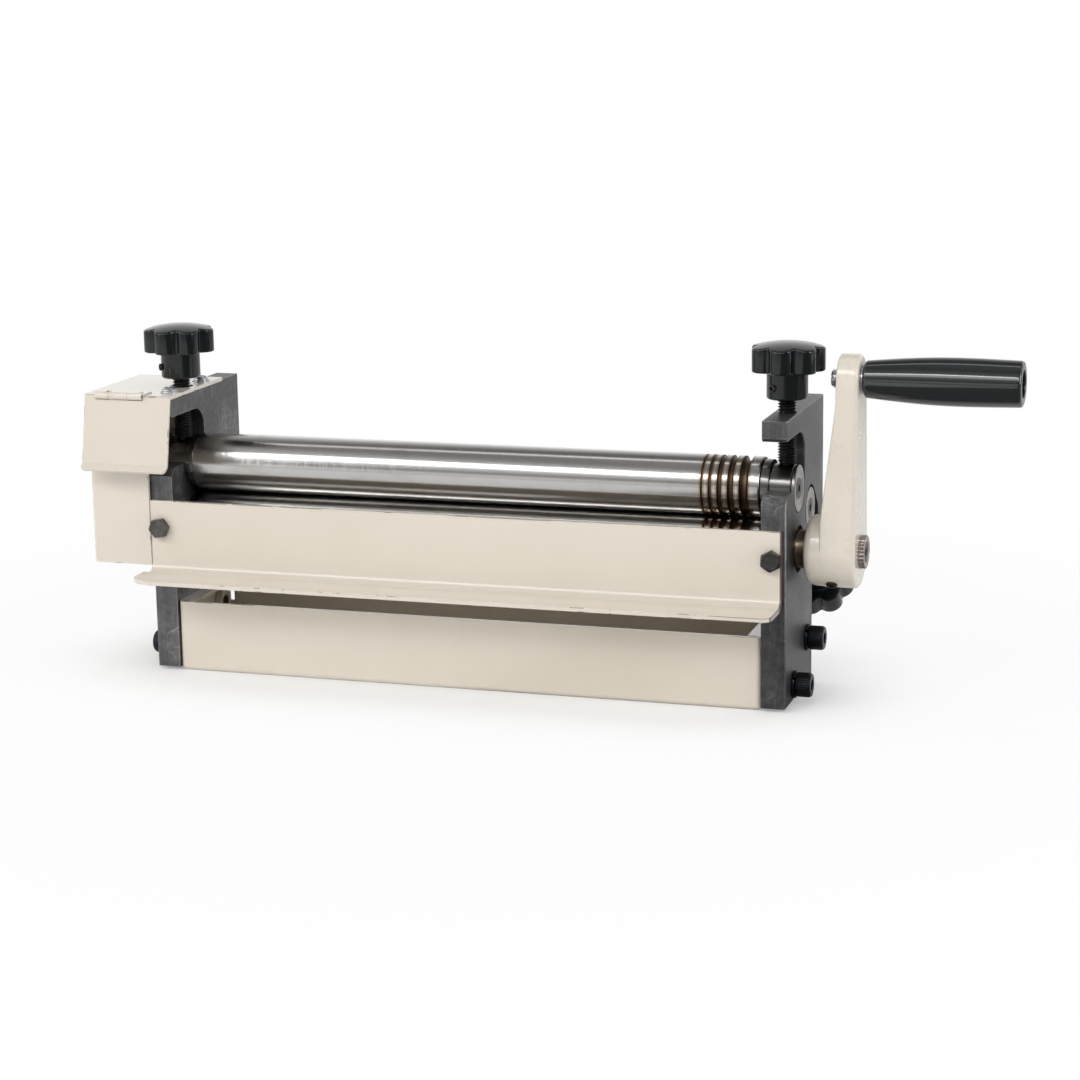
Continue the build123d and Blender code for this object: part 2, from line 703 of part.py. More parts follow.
with BuildPart() as crank_arm:
    with BuildSketch(across(arm_inner_x, 0, lower_axis_z)):
        Circle(crank_arm_hub_d / 2)
        with Locations((0, crank_radius)):
            Circle(crank_eye_d / 2)
        make_hull()
    extrude(amount=crank_root_t)
    with BuildSketch(Plane.XZ):
        with BuildLine():
            Polyline(
                (arm_inner_x, crank_foot_z),
                (arm_inner_x, lower_axis_z + crank_boss_d / 2),
                (eye_inner_x, crank_eye_z - crank_eye_d / 2),
                (eye_inner_x, crank_top_z),
                (crank_outer_x, crank_top_z),
                (crank_outer_x, crank_foot_z),
                close=True,
            )
        make_face()
    extrude(amount=crank_arm_hub_d, both=True, mode=Mode.INTERSECT)
    fillet(crank_arm.faces().sort_by(Axis.X)[-1].outer_wire().edges(), crank_round)
    disc(crank_shaft.offset(crank_boss_x - crank_outer_x), crank_boss_d, crank_span - crank_root_t)
    fillet(crank_arm.faces().sort_by(Axis.X)[0].outer_wire().edges(), crank_boss_round)
    disc(crank_shaft, crank_bore_d, -crank_span, mode=Mode.SUBTRACT)
    disc(crank_eye, spindle_thread_d, -crank_root_t, mode=Mode.SUBTRACT)
    disc(crank_set_axis, crank_set_screw_d, crank_boss_d, mode=Mode.SUBTRACT)
write(crank_arm, "crank_arm")

with BuildPart() as crank_set_screw:
    disc(crank_set_axis.offset(crank_bore_d / 2), crank_set_screw_d, crank_set_screw_length)
    hexagon(
        crank_set_axis.offset(crank_bore_d / 2 + crank_set_screw_length), crank_set_socket_across,
        -crank_set_socket_depth, mode=Mode.SUBTRACT,
    )
write(crank_set_screw, "crank_set_screw")

with BuildPart() as crank_washer:
    with BuildSketch(crank_shaft):
        Circle(crank_washer_d / 2)
        with PolarLocations(crank_washer_d / 2, crank_washer_teeth):
            Circle(crank_washer_notch, mode=Mode.SUBTRACT)
        Circle(crank_screw_d / 2, mode=Mode.SUBTRACT)
    extrude(amount=crank_washer_t)
    disc(
        crank_shaft.offset(crank_washer_floor), crank_screw_head_d, crank_washer_t,
        mode=Mode.SUBTRACT,
    )
write(crank_washer, "crank_washer")

with BuildPart() as crank_screw:
    disc(crank_shaft.offset(crank_washer_floor), crank_screw_head_d, crank_screw_head_t)
    disc(crank_shaft.offset(crank_washer_floor), crank_screw_d, -crank_screw_length)
    hexagon(
        crank_shaft.offset(crank_washer_floor + crank_screw_head_t), crank_socket_across,
        -crank_socket_depth, mode=Mode.SUBTRACT,
    )
write(crank_screw, "crank_screw")

# Handle: the grip turns on a spindle that is screwed into the arm
grip_start = spindle_collar_t + face_gap
pocket_floor = grip_start + grip_length - grip_pocket_depth

with BuildPart() as handle_spindle:
    disc(crank_eye, spindle_thread_d, -crank_eye_t - spindle_stub)
    disc(crank_eye, spindle_d, pocket_floor + face_gap)
    disc(crank_eye.offset(pocket_floor + face_gap), spindle_head_d, spindle_head_t)
    hexagon(
        crank_eye.offset(pocket_floor + face_gap + spindle_head_t), spindle_socket_across,
        -spindle_socket_depth, mode=Mode.SUBTRACT,
    )
write(handle_spindle, "handle_spindle")

with BuildPart() as spindle_collar:
    disc(crank_eye, spindle_collar_d, spindle_collar_t)
    disc(crank_eye, spindle_d, spindle_collar_t, mode=Mode.SUBTRACT)
write(spindle_collar, "spindle_collar")

with BuildPart() as handle_grip:
    with BuildSketch(lathe(crank_outer_x + grip_start, 0, crank_eye_z)):
        with BuildLine():
            Spline(
                (0, grip_inner_d / 2),
                (grip_belly_share * grip_length, grip_belly_d / 2),
                (grip_length, grip_outer_d / 2),
                tangents=[(1, grip_inner_slope_share), (1, grip_outer_slope_share)],
            )
            Polyline(
                (grip_length, grip_outer_d / 2), (grip_length, 0), (0, 0), (0, grip_inner_d / 2)
            )
        make_face()
    revolve(axis=Axis((0, 0, crank_eye_z), (1, 0, 0)))
    fillet(handle_grip.edges().filter_by(GeomType.CIRCLE), grip_round)
    disc(crank_eye, spindle_d + 2 * run_clear, pocket_floor, mode=Mode.SUBTRACT)
    disc(crank_eye.offset(pocket_floor), grip_pocket_d, grip_pocket_depth, mode=Mode.SUBTRACT)
write(handle_grip, "handle_grip")

# Tray between the plates' feet, folded up on all four sides and bolted to both plates
tray_front_y = front_y + tray_front_inset
tray_back_y = tray_front_y + tray_depth
tray_mid_y = tray_front_y + tray_depth / 2

with BuildPart() as base_tray:
    slab(Plane.XY, (-inner_x, inner_x), (tray_front_y, tray_back_y), tray_height)
    folds = base_tray.edges().group_by(Axis.Z)[0] + base_tray.edges().filter_by(Axis.Z)
    fillet(folds, tray_bend_r + tray_t)
    offset(openings=base_tray.faces().sort_by(Axis.Z)[-1], amount=-tray_t)
    for out in (-1, 1):
        slab(
            across(out * (inner_x - tray_t), 0, 0, out),
            tuple(sorted((out * (tray_front_y + tray_lip_gap), out * (tray_back_y - tray_lip_gap)))),
            (tray_height - tray_t, tray_height), tray_t - tray_lip,
        )
        for y, z in tray_bolt_places:
            disc(across(out * inner_x, y, z, out), tray_bolt_d, -tray_t, mode=Mode.SUBTRACT)
        relief_x = out * (inner_x - tray_relief_in)
        slab(
            Plane.XZ.offset(-tray_back_y), (relief_x - tray_relief_w / 2, relief_x + tray_relief_w / 2),
            (tray_height - tray_relief_drop, tray_height), tray_t, mode=Mode.SUBTRACT,
        )
    with Locations((0, tray_mid_y, 0)):
        with GridLocations(
            bed_width - 2 * bench_hole_in, tray_depth - 2 * bench_hole_side, 2, 2
        ):
            Cylinder(bench_hole_d / 2, 2 * tray_t, mode=Mode.SUBTRACT)
write(base_tray, "base_tray")

tray_corners = [
    across(out * outer_x, y, z, out) for out in (-1, 1) for y, z in tray_bolt_places
]
nut_seat = plate_t + tray_t
with BuildPart() as tray_bolts:
    for corner in tray_corners:
        head = corner.offset(tray_spring_washer_t)
        disc(head, tray_bolt_head_d, tray_bolt_head_t)
        disc(head, tray_bolt_d, -tray_spring_washer_t - nut_seat - tray_nut_t)
        hexagon(
            head.offset(tray_bolt_head_t), tray_bolt_socket_across, -tray_bolt_socket_depth,
            mode=Mode.SUBTRACT,
        )
write(tray_bolts, "tray_bolts")

with BuildPart() as tray_spring_washers:
    for corner in tray_corners:
        disc(corner, tray_spring_washer_d, tray_spring_washer_t)
        disc(corner, tray_bolt_d, tray_spring_washer_t, mode=Mode.SUBTRACT)
write(tray_spring_washers, "tray_spring_washers")

with BuildPart() as tray_nuts:
    for corner in tray_corners:
        hexagon(corner.offset(-nut_seat), tray_nut_across, -tray_nut_t)
        disc(corner.offset(-nut_seat), tray_bolt_d, -tray_nut_t, mode=Mode.SUBTRACT)
write(tray_nuts, "tray_nuts")

# Front guard: a bent sheet across both plates, with a flange that stands forward under the rolls
guard_left_x = -inner_x - guard_left_overlap
guard_right_x = inner_x + guard_right_overlap
guard_edge_y = front_y - guard_flange
guard_outer_r = guard_heel_r + guard_t
guard_top_face_z = guard_flange_z + guard_t
guard_bolt_planes = [
    Plane(
        (x, front_y - guard_t, guard_bolt_z),
        x_dir=(cos(radians(turn)), 0, sin(radians(turn))),
        z_dir=(0, -1, 0),
    )
    for x, turn in (
        (-inner_x - left_guard_bolt_in, left_guard_bolt_turn),
        (inner_x + right_guard_bolt_in, right_guard_bolt_turn),
    )
]

with BuildPart() as front_guard:
    with BuildSketch(Plane.YZ.offset(guard_left_x)):
        with BuildLine():
            Polyline(
                (front_y, guard_flange_z + guard_outer_r),
                (front_y, guard_top_z),
                (front_y - guard_t, guard_top_z),
                (front_y - guard_t, guard_flange_z + guard_outer_r),
            )
            RadiusArc(
                (front_y - guard_t, guard_flange_z + guard_outer_r),
                (front_y - guard_outer_r, guard_top_face_z),
                guard_heel_r,
            )
            Polyline(
                (front_y - guard_outer_r, guard_top_face_z),
                (guard_edge_y, guard_top_face_z),
                (guard_edge_y, guard_flange_z),
                (front_y - guard_outer_r, guard_flange_z),
            )
            RadiusArc(
                (front_y - guard_outer_r, guard_flange_z),
                (front_y, guard_flange_z + guard_outer_r),
                -guard_outer_r,
            )
        make_face()
    extrude(amount=guard_right_x - guard_left_x)
    slab(
        Plane.XY.offset(guard_flange_z), (guard_left_x - guard_tongue, guard_left_x),
        (guard_edge_y, front_y - guard_outer_r), guard_t,
    )
    front_edges = front_guard.edges().filter_by(Axis.Z).group_by(Axis.Y)[0].sort_by(Axis.X)
    fillet(front_edges[0], guard_tongue_r)
    front_edges = front_guard.edges().filter_by(Axis.Z).group_by(Axis.Y)[0].sort_by(Axis.X)
    fillet(front_edges[-1], guard_corner_r)
    for bolt_plane in guard_bolt_planes:
        disc(bolt_plane, guard_bolt_d, -guard_t, mode=Mode.SUBTRACT)
write(front_guard, "front_guard")

with BuildPart() as guard_bolts:
    for bolt_plane in guard_bolt_planes:
        hexagon(bolt_plane, guard_bolt_across, guard_bolt_head_t)
        disc(bolt_plane, guard_bolt_d, -guard_bolt_length)
write(guard_bolts, "guard_bolts")

# Gear housing: a folded box on the left plate, open to the plate and above its low front
housing_side_x = -outer_x - housing_reach
housing_front_y = front_y - housing_front
housing_brow_y = housing_front_y - housing_brow
housing_back_y = housing_front_y + housing_depth
housing_top_z = plate_top_z + housing_t

with BuildPart() as gear_housing:
    slab(
        Plane.XY.offset(housing_bottom_z), (housing_side_x, -outer_x),
        (housing_front_y, housing_back_y), housing_top_z - housing_bottom_z,
    )
    folds = (
        gear_housing.edges().filter_by(Axis.Z).group_by(Axis.X)[0]
        + gear_housing.edges().group_by(Axis.Z)[0].filter_by(Axis.Y).group_by(Axis.X)[0]
    )
    fillet(folds, housing_bend_r)
    slab(
        Plane.XY.offset(housing_bottom_z + housing_t), (housing_side_x + housing_t, -outer_x),
        (housing_front_y + housing_t, housing_back_y - housing_t),
        plate_top_z - housing_bottom_z - housing_t, mode=Mode.SUBTRACT,
    )
    slab(
        Plane.XY.offset(housing_sill_z), (housing_side_x, -outer_x),
        (housing_front_y, housing_front_y + housing_t), housing_top_z - housing_sill_z,
        mode=Mode.SUBTRACT,
    )
    slab(
        Plane.XY.offset(housing_sill_z), (housing_side_x, housing_side_x + housing_t),
        (housing_brow_y, housing_front_y + housing_t), plate_top_z - housing_sill_z,
    )
    slab(
        Plane.XY.offset(plate_top_z), (housing_side_x, -outer_x + housing_top_over),
        (housing_brow_y, housing_back_y), housing_t,
    )
    disc(
        Plane((-plate_mid_x, 0, plate_top_z)), housing_screw_hole_d, housing_t, mode=Mode.SUBTRACT
    )
    for y in housing_screw_ys:
        disc(
            Plane((-outer_x + housing_screw_in, y, plate_top_z)), housing_screw_d, housing_t,
            mode=Mode.SUBTRACT,
        )
write(gear_housing, "gear_housing")

with BuildPart() as housing_washers:
    for y in housing_screw_ys:
        washer_seat = Plane((-outer_x + housing_screw_in, y, housing_top_z))
        disc(washer_seat, housing_washer_d, housing_washer_t)
        disc(washer_seat, housing_screw_d, housing_washer_t, mode=Mode.SUBTRACT)
write(housing_washers, "housing_washers")

with BuildPart() as housing_screws:
    for y in housing_screw_ys:
        screw_seat = Plane((-outer_x + housing_screw_in, y, housing_top_z + housing_washer_t))
        disc(screw_seat, housing_screw_head_d, housing_screw_head_t)
        head_rims = housing_screws.edges().filter_by(GeomType.CIRCLE).group_by(Axis.Z)[-1]
        fillet(head_rims.sort_by_distance(screw_seat.origin)[0], housing_screw_round)
        disc(screw_seat, housing_screw_d, -housing_screw_length)
write(housing_screws, "housing_screws")

# Hinge: a fixed leaf on the housing's top, a pin, and the door's own middle knuckle
door_face_y = front_y - door_front
hinge_y = door_face_y - hinge_proud
hinge_z = housing_top_z - hinge_drop
hinge_x = housing_side_x + hinge_start
knuckle_spans = {
    "fixed_left": (hinge_x, hinge_x + hinge_end_knuckle),
    "fixed_right": (
        hinge_x + hinge_end_knuckle + hinge_mid_knuckle,
        hinge_x + 2 * hinge_end_knuckle + hinge_mid_knuckle,
    ),
}
door_knuckle = (
    hinge_x + hinge_end_knuckle + face_gap,
    hinge_x + hinge_end_knuckle + hinge_mid_knuckle - face_gap,
)
hinge_end_x = hinge_x + 2 * hinge_end_knuckle + hinge_mid_knuckle
leaf_front_y = hinge_y + hinge_knuckle_d / 2 + face_gap

with BuildPart() as hinge_leaf:
    slab(
        Plane.XY.offset(housing_top_z), (hinge_x, hinge_end_x),
        (leaf_front_y, leaf_front_y + hinge_leaf_depth), hinge_leaf_t,
    )
    for span in knuckle_spans.values():
        slab(Plane.XY.offset(housing_top_z), span, (hinge_y, leaf_front_y), hinge_leaf_t)
        disc(across(span[0], hinge_y, hinge_z), hinge_knuckle_d, span[1] - span[0])
        disc(
            across(span[0], hinge_y, hinge_z), hinge_pin_d, span[1] - span[0], mode=Mode.SUBTRACT
        )
        disc(
            Plane((
                sum(span) / 2, leaf_front_y + hinge_leaf_depth / 2, housing_top_z + hinge_leaf_t
            )),
            hinge_rivet_d, hinge_rivet_t,
        )
write(hinge_leaf, "hinge_leaf")

with BuildPart() as hinge_pin:
    disc(across(hinge_x, hinge_y, hinge_z), hinge_pin_d, hinge_end_x - hinge_x)
write(hinge_pin, "hinge_pin")

# Door of the gear housing: a flat sheet with a flared lip below and its knuckle above.
# It is made closed and then turned about the hinge, because it hangs ajar.
door_inner_y = door_face_y + door_t
door_top_z = housing_top_z - door_top_gap
door_fold_z = housing_top_z - door_drop
lip_y = -sin(radians(door_lip_angle))
lip_z = -cos(radians(door_lip_angle))

with BuildPart() as gear_door:
    with BuildSketch(Plane.YZ.offset(housing_side_x + door_side_gap)):
        with BuildLine():
            Polyline(
                (door_inner_y, door_top_z),
                (door_face_y, door_top_z),
                (door_face_y, door_fold_z),
                (door_face_y + door_lip * lip_y, door_fold_z + door_lip * lip_z),
                (
                    door_face_y + door_lip * lip_y - door_t * lip_z,
                    door_fold_z + door_lip * lip_z + door_t * lip_y,
                ),
                (door_inner_y, door_fold_z - door_t * tan(radians(door_lip_angle / 2))),
                close=True,
            )
        make_face()
    extrude(amount=door_width)
    lip_end = gear_door.faces().sort_by(Axis.Z)[0]
    fillet(lip_end.edges().sort_by(SortBy.LENGTH)[:2], door_corner_r)
    for span in knuckle_spans.values():
        slab(
            Plane.XY.offset(hinge_z - hinge_knuckle_d / 2 - face_gap),
            (span[0] - face_gap, span[1] + face_gap), (door_face_y, door_inner_y),
            hinge_knuckle_d, mode=Mode.SUBTRACT,
        )
    disc(across(door_knuckle[0], hinge_y, hinge_z), hinge_knuckle_d, door_knuckle[1] - door_knuckle[0])
    disc(
        across(hinge_x, hinge_y, hinge_z), hinge_pin_d + 2 * run_clear, hinge_end_x - hinge_x,
        mode=Mode.SUBTRACT,
    )
gear_door.part = gear_door.part.rotate(Axis((0, hinge_y, hinge_z), (-1, 0, 0)), door_ajar)
write(gear_door, "gear_door")
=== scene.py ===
"""Looks of a hand-cranked bench slip roll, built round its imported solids. Lengths are in metres."""

import logging
import math
from dataclasses import dataclass
from enum import Enum
from typing import Any, Callable, Optional, Sequence, Union

import bpy
import numpy as np
from mathutils import Matrix


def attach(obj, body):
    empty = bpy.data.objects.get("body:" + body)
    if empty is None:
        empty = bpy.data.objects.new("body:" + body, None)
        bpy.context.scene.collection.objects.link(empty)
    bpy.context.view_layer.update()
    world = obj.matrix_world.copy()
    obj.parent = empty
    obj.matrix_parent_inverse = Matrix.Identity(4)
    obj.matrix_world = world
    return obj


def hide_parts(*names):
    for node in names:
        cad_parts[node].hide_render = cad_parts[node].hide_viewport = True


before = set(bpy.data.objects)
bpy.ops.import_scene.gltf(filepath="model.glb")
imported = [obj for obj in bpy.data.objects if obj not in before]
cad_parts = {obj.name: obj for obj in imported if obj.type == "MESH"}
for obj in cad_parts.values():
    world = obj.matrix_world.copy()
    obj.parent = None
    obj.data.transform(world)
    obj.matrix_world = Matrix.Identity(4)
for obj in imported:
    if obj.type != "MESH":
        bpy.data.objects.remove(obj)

LOG = logging.getLogger("slip_roll")
MM = 0.001
LOWER_AXIS = (0.0, 81.2 * MM)  # each roll's axis, as its Y and Z
TOP_AXIS = (0.0, 113.4 * MM)
REAR_AXIS = (28.35 * MM, 97.3 * MM)
PLATE_FACE = 179.2 * MM  # the plates' outer faces, out from the middle
Array = np.ndarray
Point = tuple[float, float, float]
Colour = tuple[float, float, float]


def unit(vectors: Array) -> Array:
    """Each vector divided by its own length."""
    return vectors / np.maximum(np.linalg.norm(vectors, axis=-1, keepdims=True), 1e-12)


def rounded(
    corners: Array, radii: Array, steps: int = 5, closed: bool = False
) -> tuple[Array, Array]:
    """A polyline whose corners are rounded.

    The arc at a corner C has its centre on the bisector of the two runs, at r / sin(h) from C,
    where h is half the angle between the runs. It is swept from one tangent point to the other
    by spherical interpolation, sin((1 - t)w) and sin(tw) over sin(w), where w is the arc's angle.

    Args:
        corners: (n, 2) corner points.
        radii: (n,) rounding radius at each corner; 0 keeps it sharp.
        steps: Points along each arc.
        closed: Whether the last corner joins the first.

    Returns:
        The points, and for each the number of the corner that it came from.
    """
    corners = np.asarray(corners, float)
    radii = np.array(radii, float)
    if not closed:
        radii[[0, -1]] = 0
    back = unit(np.roll(corners, 1, axis=0) - corners)
    ahead = unit(np.roll(corners, -1, axis=0) - corners)
    half = np.arccos(np.clip((back * ahead).sum(1), -1, 1)) / 2
    soft = (radii > 0) & (half < math.pi / 2 - 1e-4) & (half > 1e-4)
    half = np.where(soft, half, 1.0)
    reach = np.where(soft, radii / np.tan(half), 0)[:, None]
    centre = corners + unit(back + ahead) * np.where(soft, radii / np.sin(half), 0)[:, None]
    start = corners + back * reach - centre
    end = corners + ahead * reach - centre
    sweep = (math.pi - 2 * half)[:, None, None]
    share = np.linspace(0, 1, steps)[None, :, None]
    arcs = centre[:, None] + (
        np.sin((1 - share) * sweep) * start[:, None] + np.sin(share * sweep) * end[:, None]
    ) / np.sin(sweep)
    arcs = np.where(soft[:, None, None], arcs, corners[:, None])
    points = arcs.reshape(-1, 2)
    owner = np.repeat(np.arange(len(corners)), steps)
    fresh = np.linalg.norm(points - np.roll(points, 1, axis=0), axis=1) > 1e-8
    if not closed:
        fresh[0] = True
    return points[fresh], owner[fresh]


@dataclass
class Surface:
    """A mesh as whole arrays: points, faces of four and three corners, and their map points."""

    points: Array
    quads: Array
    tris: Array
    quad_maps: Array
    tri_maps: Array

    @classmethod
    def grid(cls, points: Array, loop_rows: bool = False, loop_cols: bool = True) -> "Surface":
        """A surface over a grid of points.

        The map coordinates are the column's share of the way round, and the distance along the
        rows. A row that has shrunk to a point becomes one corner with three-sided faces.

        Args:
            points: (rows, cols, 3) points.
            loop_rows: Whether the last row joins the first.
            loop_cols: Whether the last column joins the first.

        Returns:
            The surface, with its faces pointing outwards if it is closed.
        """
        rows, cols = points.shape[:2]
        index = np.arange(rows * cols).reshape(rows, cols)
        shrunk = np.ptp(points, axis=1).max(axis=1) < 1e-9
        index[shrunk] = index[shrunk][:, :1]
        steps = np.linalg.norm(np.diff(points, axis=0), axis=2).mean(axis=1)
        down = np.concatenate([[0], np.cumsum(steps)])
        if loop_rows:
            index = np.concatenate([index, index[:1]])
            down = np.append(down, down[-1] + np.linalg.norm(points[0] - points[-1], axis=1).mean())
        if loop_cols:
            index = np.concatenate([index, index[:, :1]], axis=1)
        across = np.linspace(0, 1, index.shape[1])
        maps = np.stack(np.meshgrid(across, down), axis=-1)
        ring = [
            (slice(None, -1), slice(None, -1)),
            (slice(None, -1), slice(1, None)),
            (slice(1, None), slice(1, None)),
            (slice(1, None), slice(None, -1)),
        ]
        quads = np.stack([index[part] for part in ring], axis=-1).reshape(-1, 4)
        quad_maps = np.stack([maps[part] for part in ring], axis=-2).reshape(-1, 4, 2)
        head = quads[:, 0] == quads[:, 1]
        tail = quads[:, 2] == quads[:, 3]
        full = ~(head | tail)
        tris = np.concatenate([quads[head][:, [0, 2, 3]], quads[tail][:, [0, 1, 2]]])
        tri_maps = np.concatenate([quad_maps[head][:, [0, 2, 3]], quad_maps[tail][:, [0, 1, 2]]])
        return cls(points.reshape(-1, 3), quads[full], tris, quad_maps[full], tri_maps).outward()

    def outward(self) -> "Surface":
        """The same surface, turned inside out if its signed volume is negative.

        Returns:
            The surface, facing outwards.
        """
        fans = np.concatenate([self.tris, self.quads[:, [0, 1, 2]], self.quads[:, [0, 2, 3]]])
        a, b, c = (self.points[fans[:, k]] for k in range(3))
        if (a * np.cross(b, c)).sum() >= 0:
            return self
        return Surface(
            self.points,
            self.quads[:, ::-1],
            self.tris[:, ::-1],
            self.quad_maps[:, ::-1],
            self.tri_maps[:, ::-1],
        )

    @classmethod
    def group(cls, parts: Sequence["Surface"]) -> "Surface":
        """Several surfaces as one.

        Args:
            parts: The surfaces, each a closed shell of its own.

        Returns:
            One surface with all their faces.
        """
        starts = np.cumsum([0] + [len(part.points) for part in parts[:-1]])
        return cls(
            np.concatenate([part.points for part in parts]),
            np.concatenate([part.quads + start for part, start in zip(parts, starts)]),
            np.concatenate([part.tris + start for part, start in zip(parts, starts)]),
            np.concatenate([part.quad_maps for part in parts]),
            np.concatenate([part.tri_maps for part in parts]),
        )

    def piece(self, name: str, sharp: float = 32.0) -> bpy.types.Object:
        """A Blender object of this surface, smooth except over edges sharper than an angle.

        Args:
            name: The piece's name.
            sharp: The angle in degrees.

        Returns:
            The object, linked to the scene, at the origin.
        """
        corners = np.concatenate([self.quads.ravel(), self.tris.ravel()])
        used, corners = np.unique(corners, return_inverse=True)
        after = len(self.quads) * 4
        starts = np.concatenate([np.arange(0, after, 4), after + np.arange(len(self.tris)) * 3])
        maps = np.concatenate([self.quad_maps.reshape(-1, 2), self.tri_maps.reshape(-1, 2)])
        mesh = bpy.data.meshes.new(name)
        mesh.vertices.add(len(used))
        mesh.vertices.foreach_set("co", self.points[used].astype(np.float32).ravel())
        mesh.loops.add(len(corners))
        mesh.loops.foreach_set("vertex_index", corners.astype(np.int32))
        mesh.polygons.add(len(starts))
        mesh.polygons.foreach_set("loop_start", starts.astype(np.int32))
        mesh.uv_layers.new(name="Surface").data.foreach_set("uv", maps.astype(np.float32).ravel())
        mesh.update(calc_edges=True)
        mesh.validate()
        mesh.polygons.foreach_set("use_smooth", np.ones(len(starts), bool))
        mesh.set_sharp_from_angle(angle=math.radians(sharp))
        made = bpy.data.objects.new(name, mesh)
        bpy.context.scene.collection.objects.link(made)
        return made


@dataclass(frozen=True)
class Axis:
    """An axis that a piece is turned about, with the direction that its first angle faces."""

    origin: Point
    along: Point
    facing: Point = (0.0, 0.0, 1.0)

    def place(self, right: Array, up: Array, along: Array) -> Array:
        """Puts points round the axis into the object's frame.

        Args:
            right: Distances towards the facing side.
            up: Distances square to the facing side and to the axis.
            along: Distances along the axis.

        Returns:
            The points, with one more dimension of three.
        """
        w = unit(np.array(self.along, float))
        u = np.array(self.facing, float)
        u = unit(u - (u @ w) * w)
        v = np.cross(w, u)
        spread = right[..., None] * u + up[..., None] * v + along[..., None] * w
        return np.array(self.origin, float) + spread

    def moved(self, distance: float) -> "Axis":
        """The same axis with its origin moved along it."""
        w = unit(np.array(self.along, float))
        return Axis(tuple(np.array(self.origin) + w * distance), self.along, self.facing)


class Outline(Enum):
    """The outlines that a turned piece's rings may have."""

    ROUND = "round"
    HEXAGON = "hexagon"
    KNURL = "knurl"
    LOBED = "lobed"
    TOOTHED = "toothed"
    CROSS = "cross"

    def factor(self, angle: Array) -> Array:
        """A ring's radius at each angle, as a share of its least or its greatest radius.

        A hexagon's is 1 / cos of the angle from the middle of its flat. The others fall from 1
        by a depth times a power of (1 - cos(n * angle)) / 2, which is 1 midway between crests.

        Args:
            angle: Angles in radians.

        Returns:
            The factors, of the angles' shape.
        """
        if self is Outline.ROUND:
            return np.ones_like(angle)
        if self is Outline.HEXAGON:
            sixth = math.pi / 3
            return 1 / np.cos((angle + sixth / 2) % sixth - sixth / 2)
        if self is Outline.CROSS:
            quarter = math.pi / 2
            turn = np.abs((angle + quarter / 2) % quarter - quarter / 2)
            return np.clip(0.24 / np.maximum(np.sin(turn), 1e-6), 0.34, 1)
        if self is Outline.LOBED:
            return self.star(angle)
        count, depth, power = {
            Outline.KNURL: (36, 0.022, 1.0),
            Outline.TOOTHED: (24, 0.055, 1.6),
        }[self]
        return 1 - depth * ((1 - np.cos(count * angle)) / 2) ** power

    @staticmethod
    def star(angle: Array, lobes: int = 7, lobe: float = 0.325, root: float = 0.081) -> Array:
        """The outline of a star of round lobes with round valleys, whose reach is 1.

        A lobe is a circle of radius b about a point at c = 1 - b, so its outline is at
        c cos a + sqrt(b^2 - c^2 sin^2 a). A valley is the near side of a circle of radius v
        that touches both lobes, at e cos f - sqrt(v^2 - e^2 sin^2 f) from the valley's middle.

        Args:
            angle: Angles in radians, from the middle of a lobe.
            lobes: The number of lobes.
            lobe: The radius b.
            root: The radius v.

        Returns:
            The factors, of the angles' shape.
        """
        step = 2 * math.pi / lobes
        off = np.abs((angle + step / 2) % step - step / 2)
        middle = 1 - lobe
        reach = middle * math.cos(step / 2)
        reach += math.sqrt((lobe + root) ** 2 - (middle * math.sin(step / 2)) ** 2)
        meet = np.array((reach * math.cos(step / 2) - middle, reach * math.sin(step / 2)))
        meet = np.array((middle, 0.0)) + meet * lobe / (lobe + root)
        switch = math.atan2(meet[1], meet[0])
        crest = middle * np.cos(off)
        crest += np.sqrt(np.maximum(lobe**2 - (middle * np.sin(off)) ** 2, 0))
        left = step / 2 - off
        valley = reach * np.cos(left)
        valley -= np.sqrt(np.maximum(root**2 - (reach * np.sin(left)) ** 2, 0))
        return np.where(off < switch, crest, valley)


@dataclass(frozen=True)
class Ring:
    """One corner of a turned piece's profile."""

    along: float
    radius: float
    edge: float = 0.0
    outline: Outline = Outline.ROUND


def rings_mm(*rows: tuple[Any, ...]) -> list[Ring]:
    """Rings from rows in millimetres: along, radius and, where they count, edge and outline."""
    return [Ring(*(v * MM if isinstance(v, float) else v for v in row)) for row in rows]


@dataclass
class Turning:
    """A piece turned about an axis, from the rings at its profile's corners."""

    rings: Sequence[Ring]
    segments: int = 96
    sleeve: bool = False
    crown: Optional[float] = None
    steps: int = 5

    def surface(self, axis: Axis) -> Surface:
        """The turned surface.

        A point is at (r cos a, r sin a, z) about the axis, where z and r come from the rounded
        profile and r is multiplied by the ring's outline at the angle a. With a crown radius c,
        z is no more than the top less (r - c) tan 30, which chamfers a bolt head's corners.

        Args:
            axis: Where the piece stands.

        Returns:
            The closed surface.
        """
        profile, owner = rounded(
            np.array([(ring.along, ring.radius) for ring in self.rings]),
            np.array([ring.edge for ring in self.rings]),
            self.steps,
            closed=self.sleeve,
        )
        angle = np.linspace(0, 2 * math.pi, self.segments, endpoint=False)
        shares = np.stack([ring.outline.factor(angle) for ring in self.rings])[owner]
        radius = profile[:, 1:] * shares
        along = profile[:, :1] + 0 * radius
        if self.crown is not None:
            fall = np.maximum(radius - self.crown, 0) * math.tan(math.radians(30))
            along = np.minimum(along, profile[:, 0].max() - fall)
        points = axis.place(radius * np.cos(angle), radius * np.sin(angle), along)
        return Surface.grid(points, loop_rows=self.sleeve)


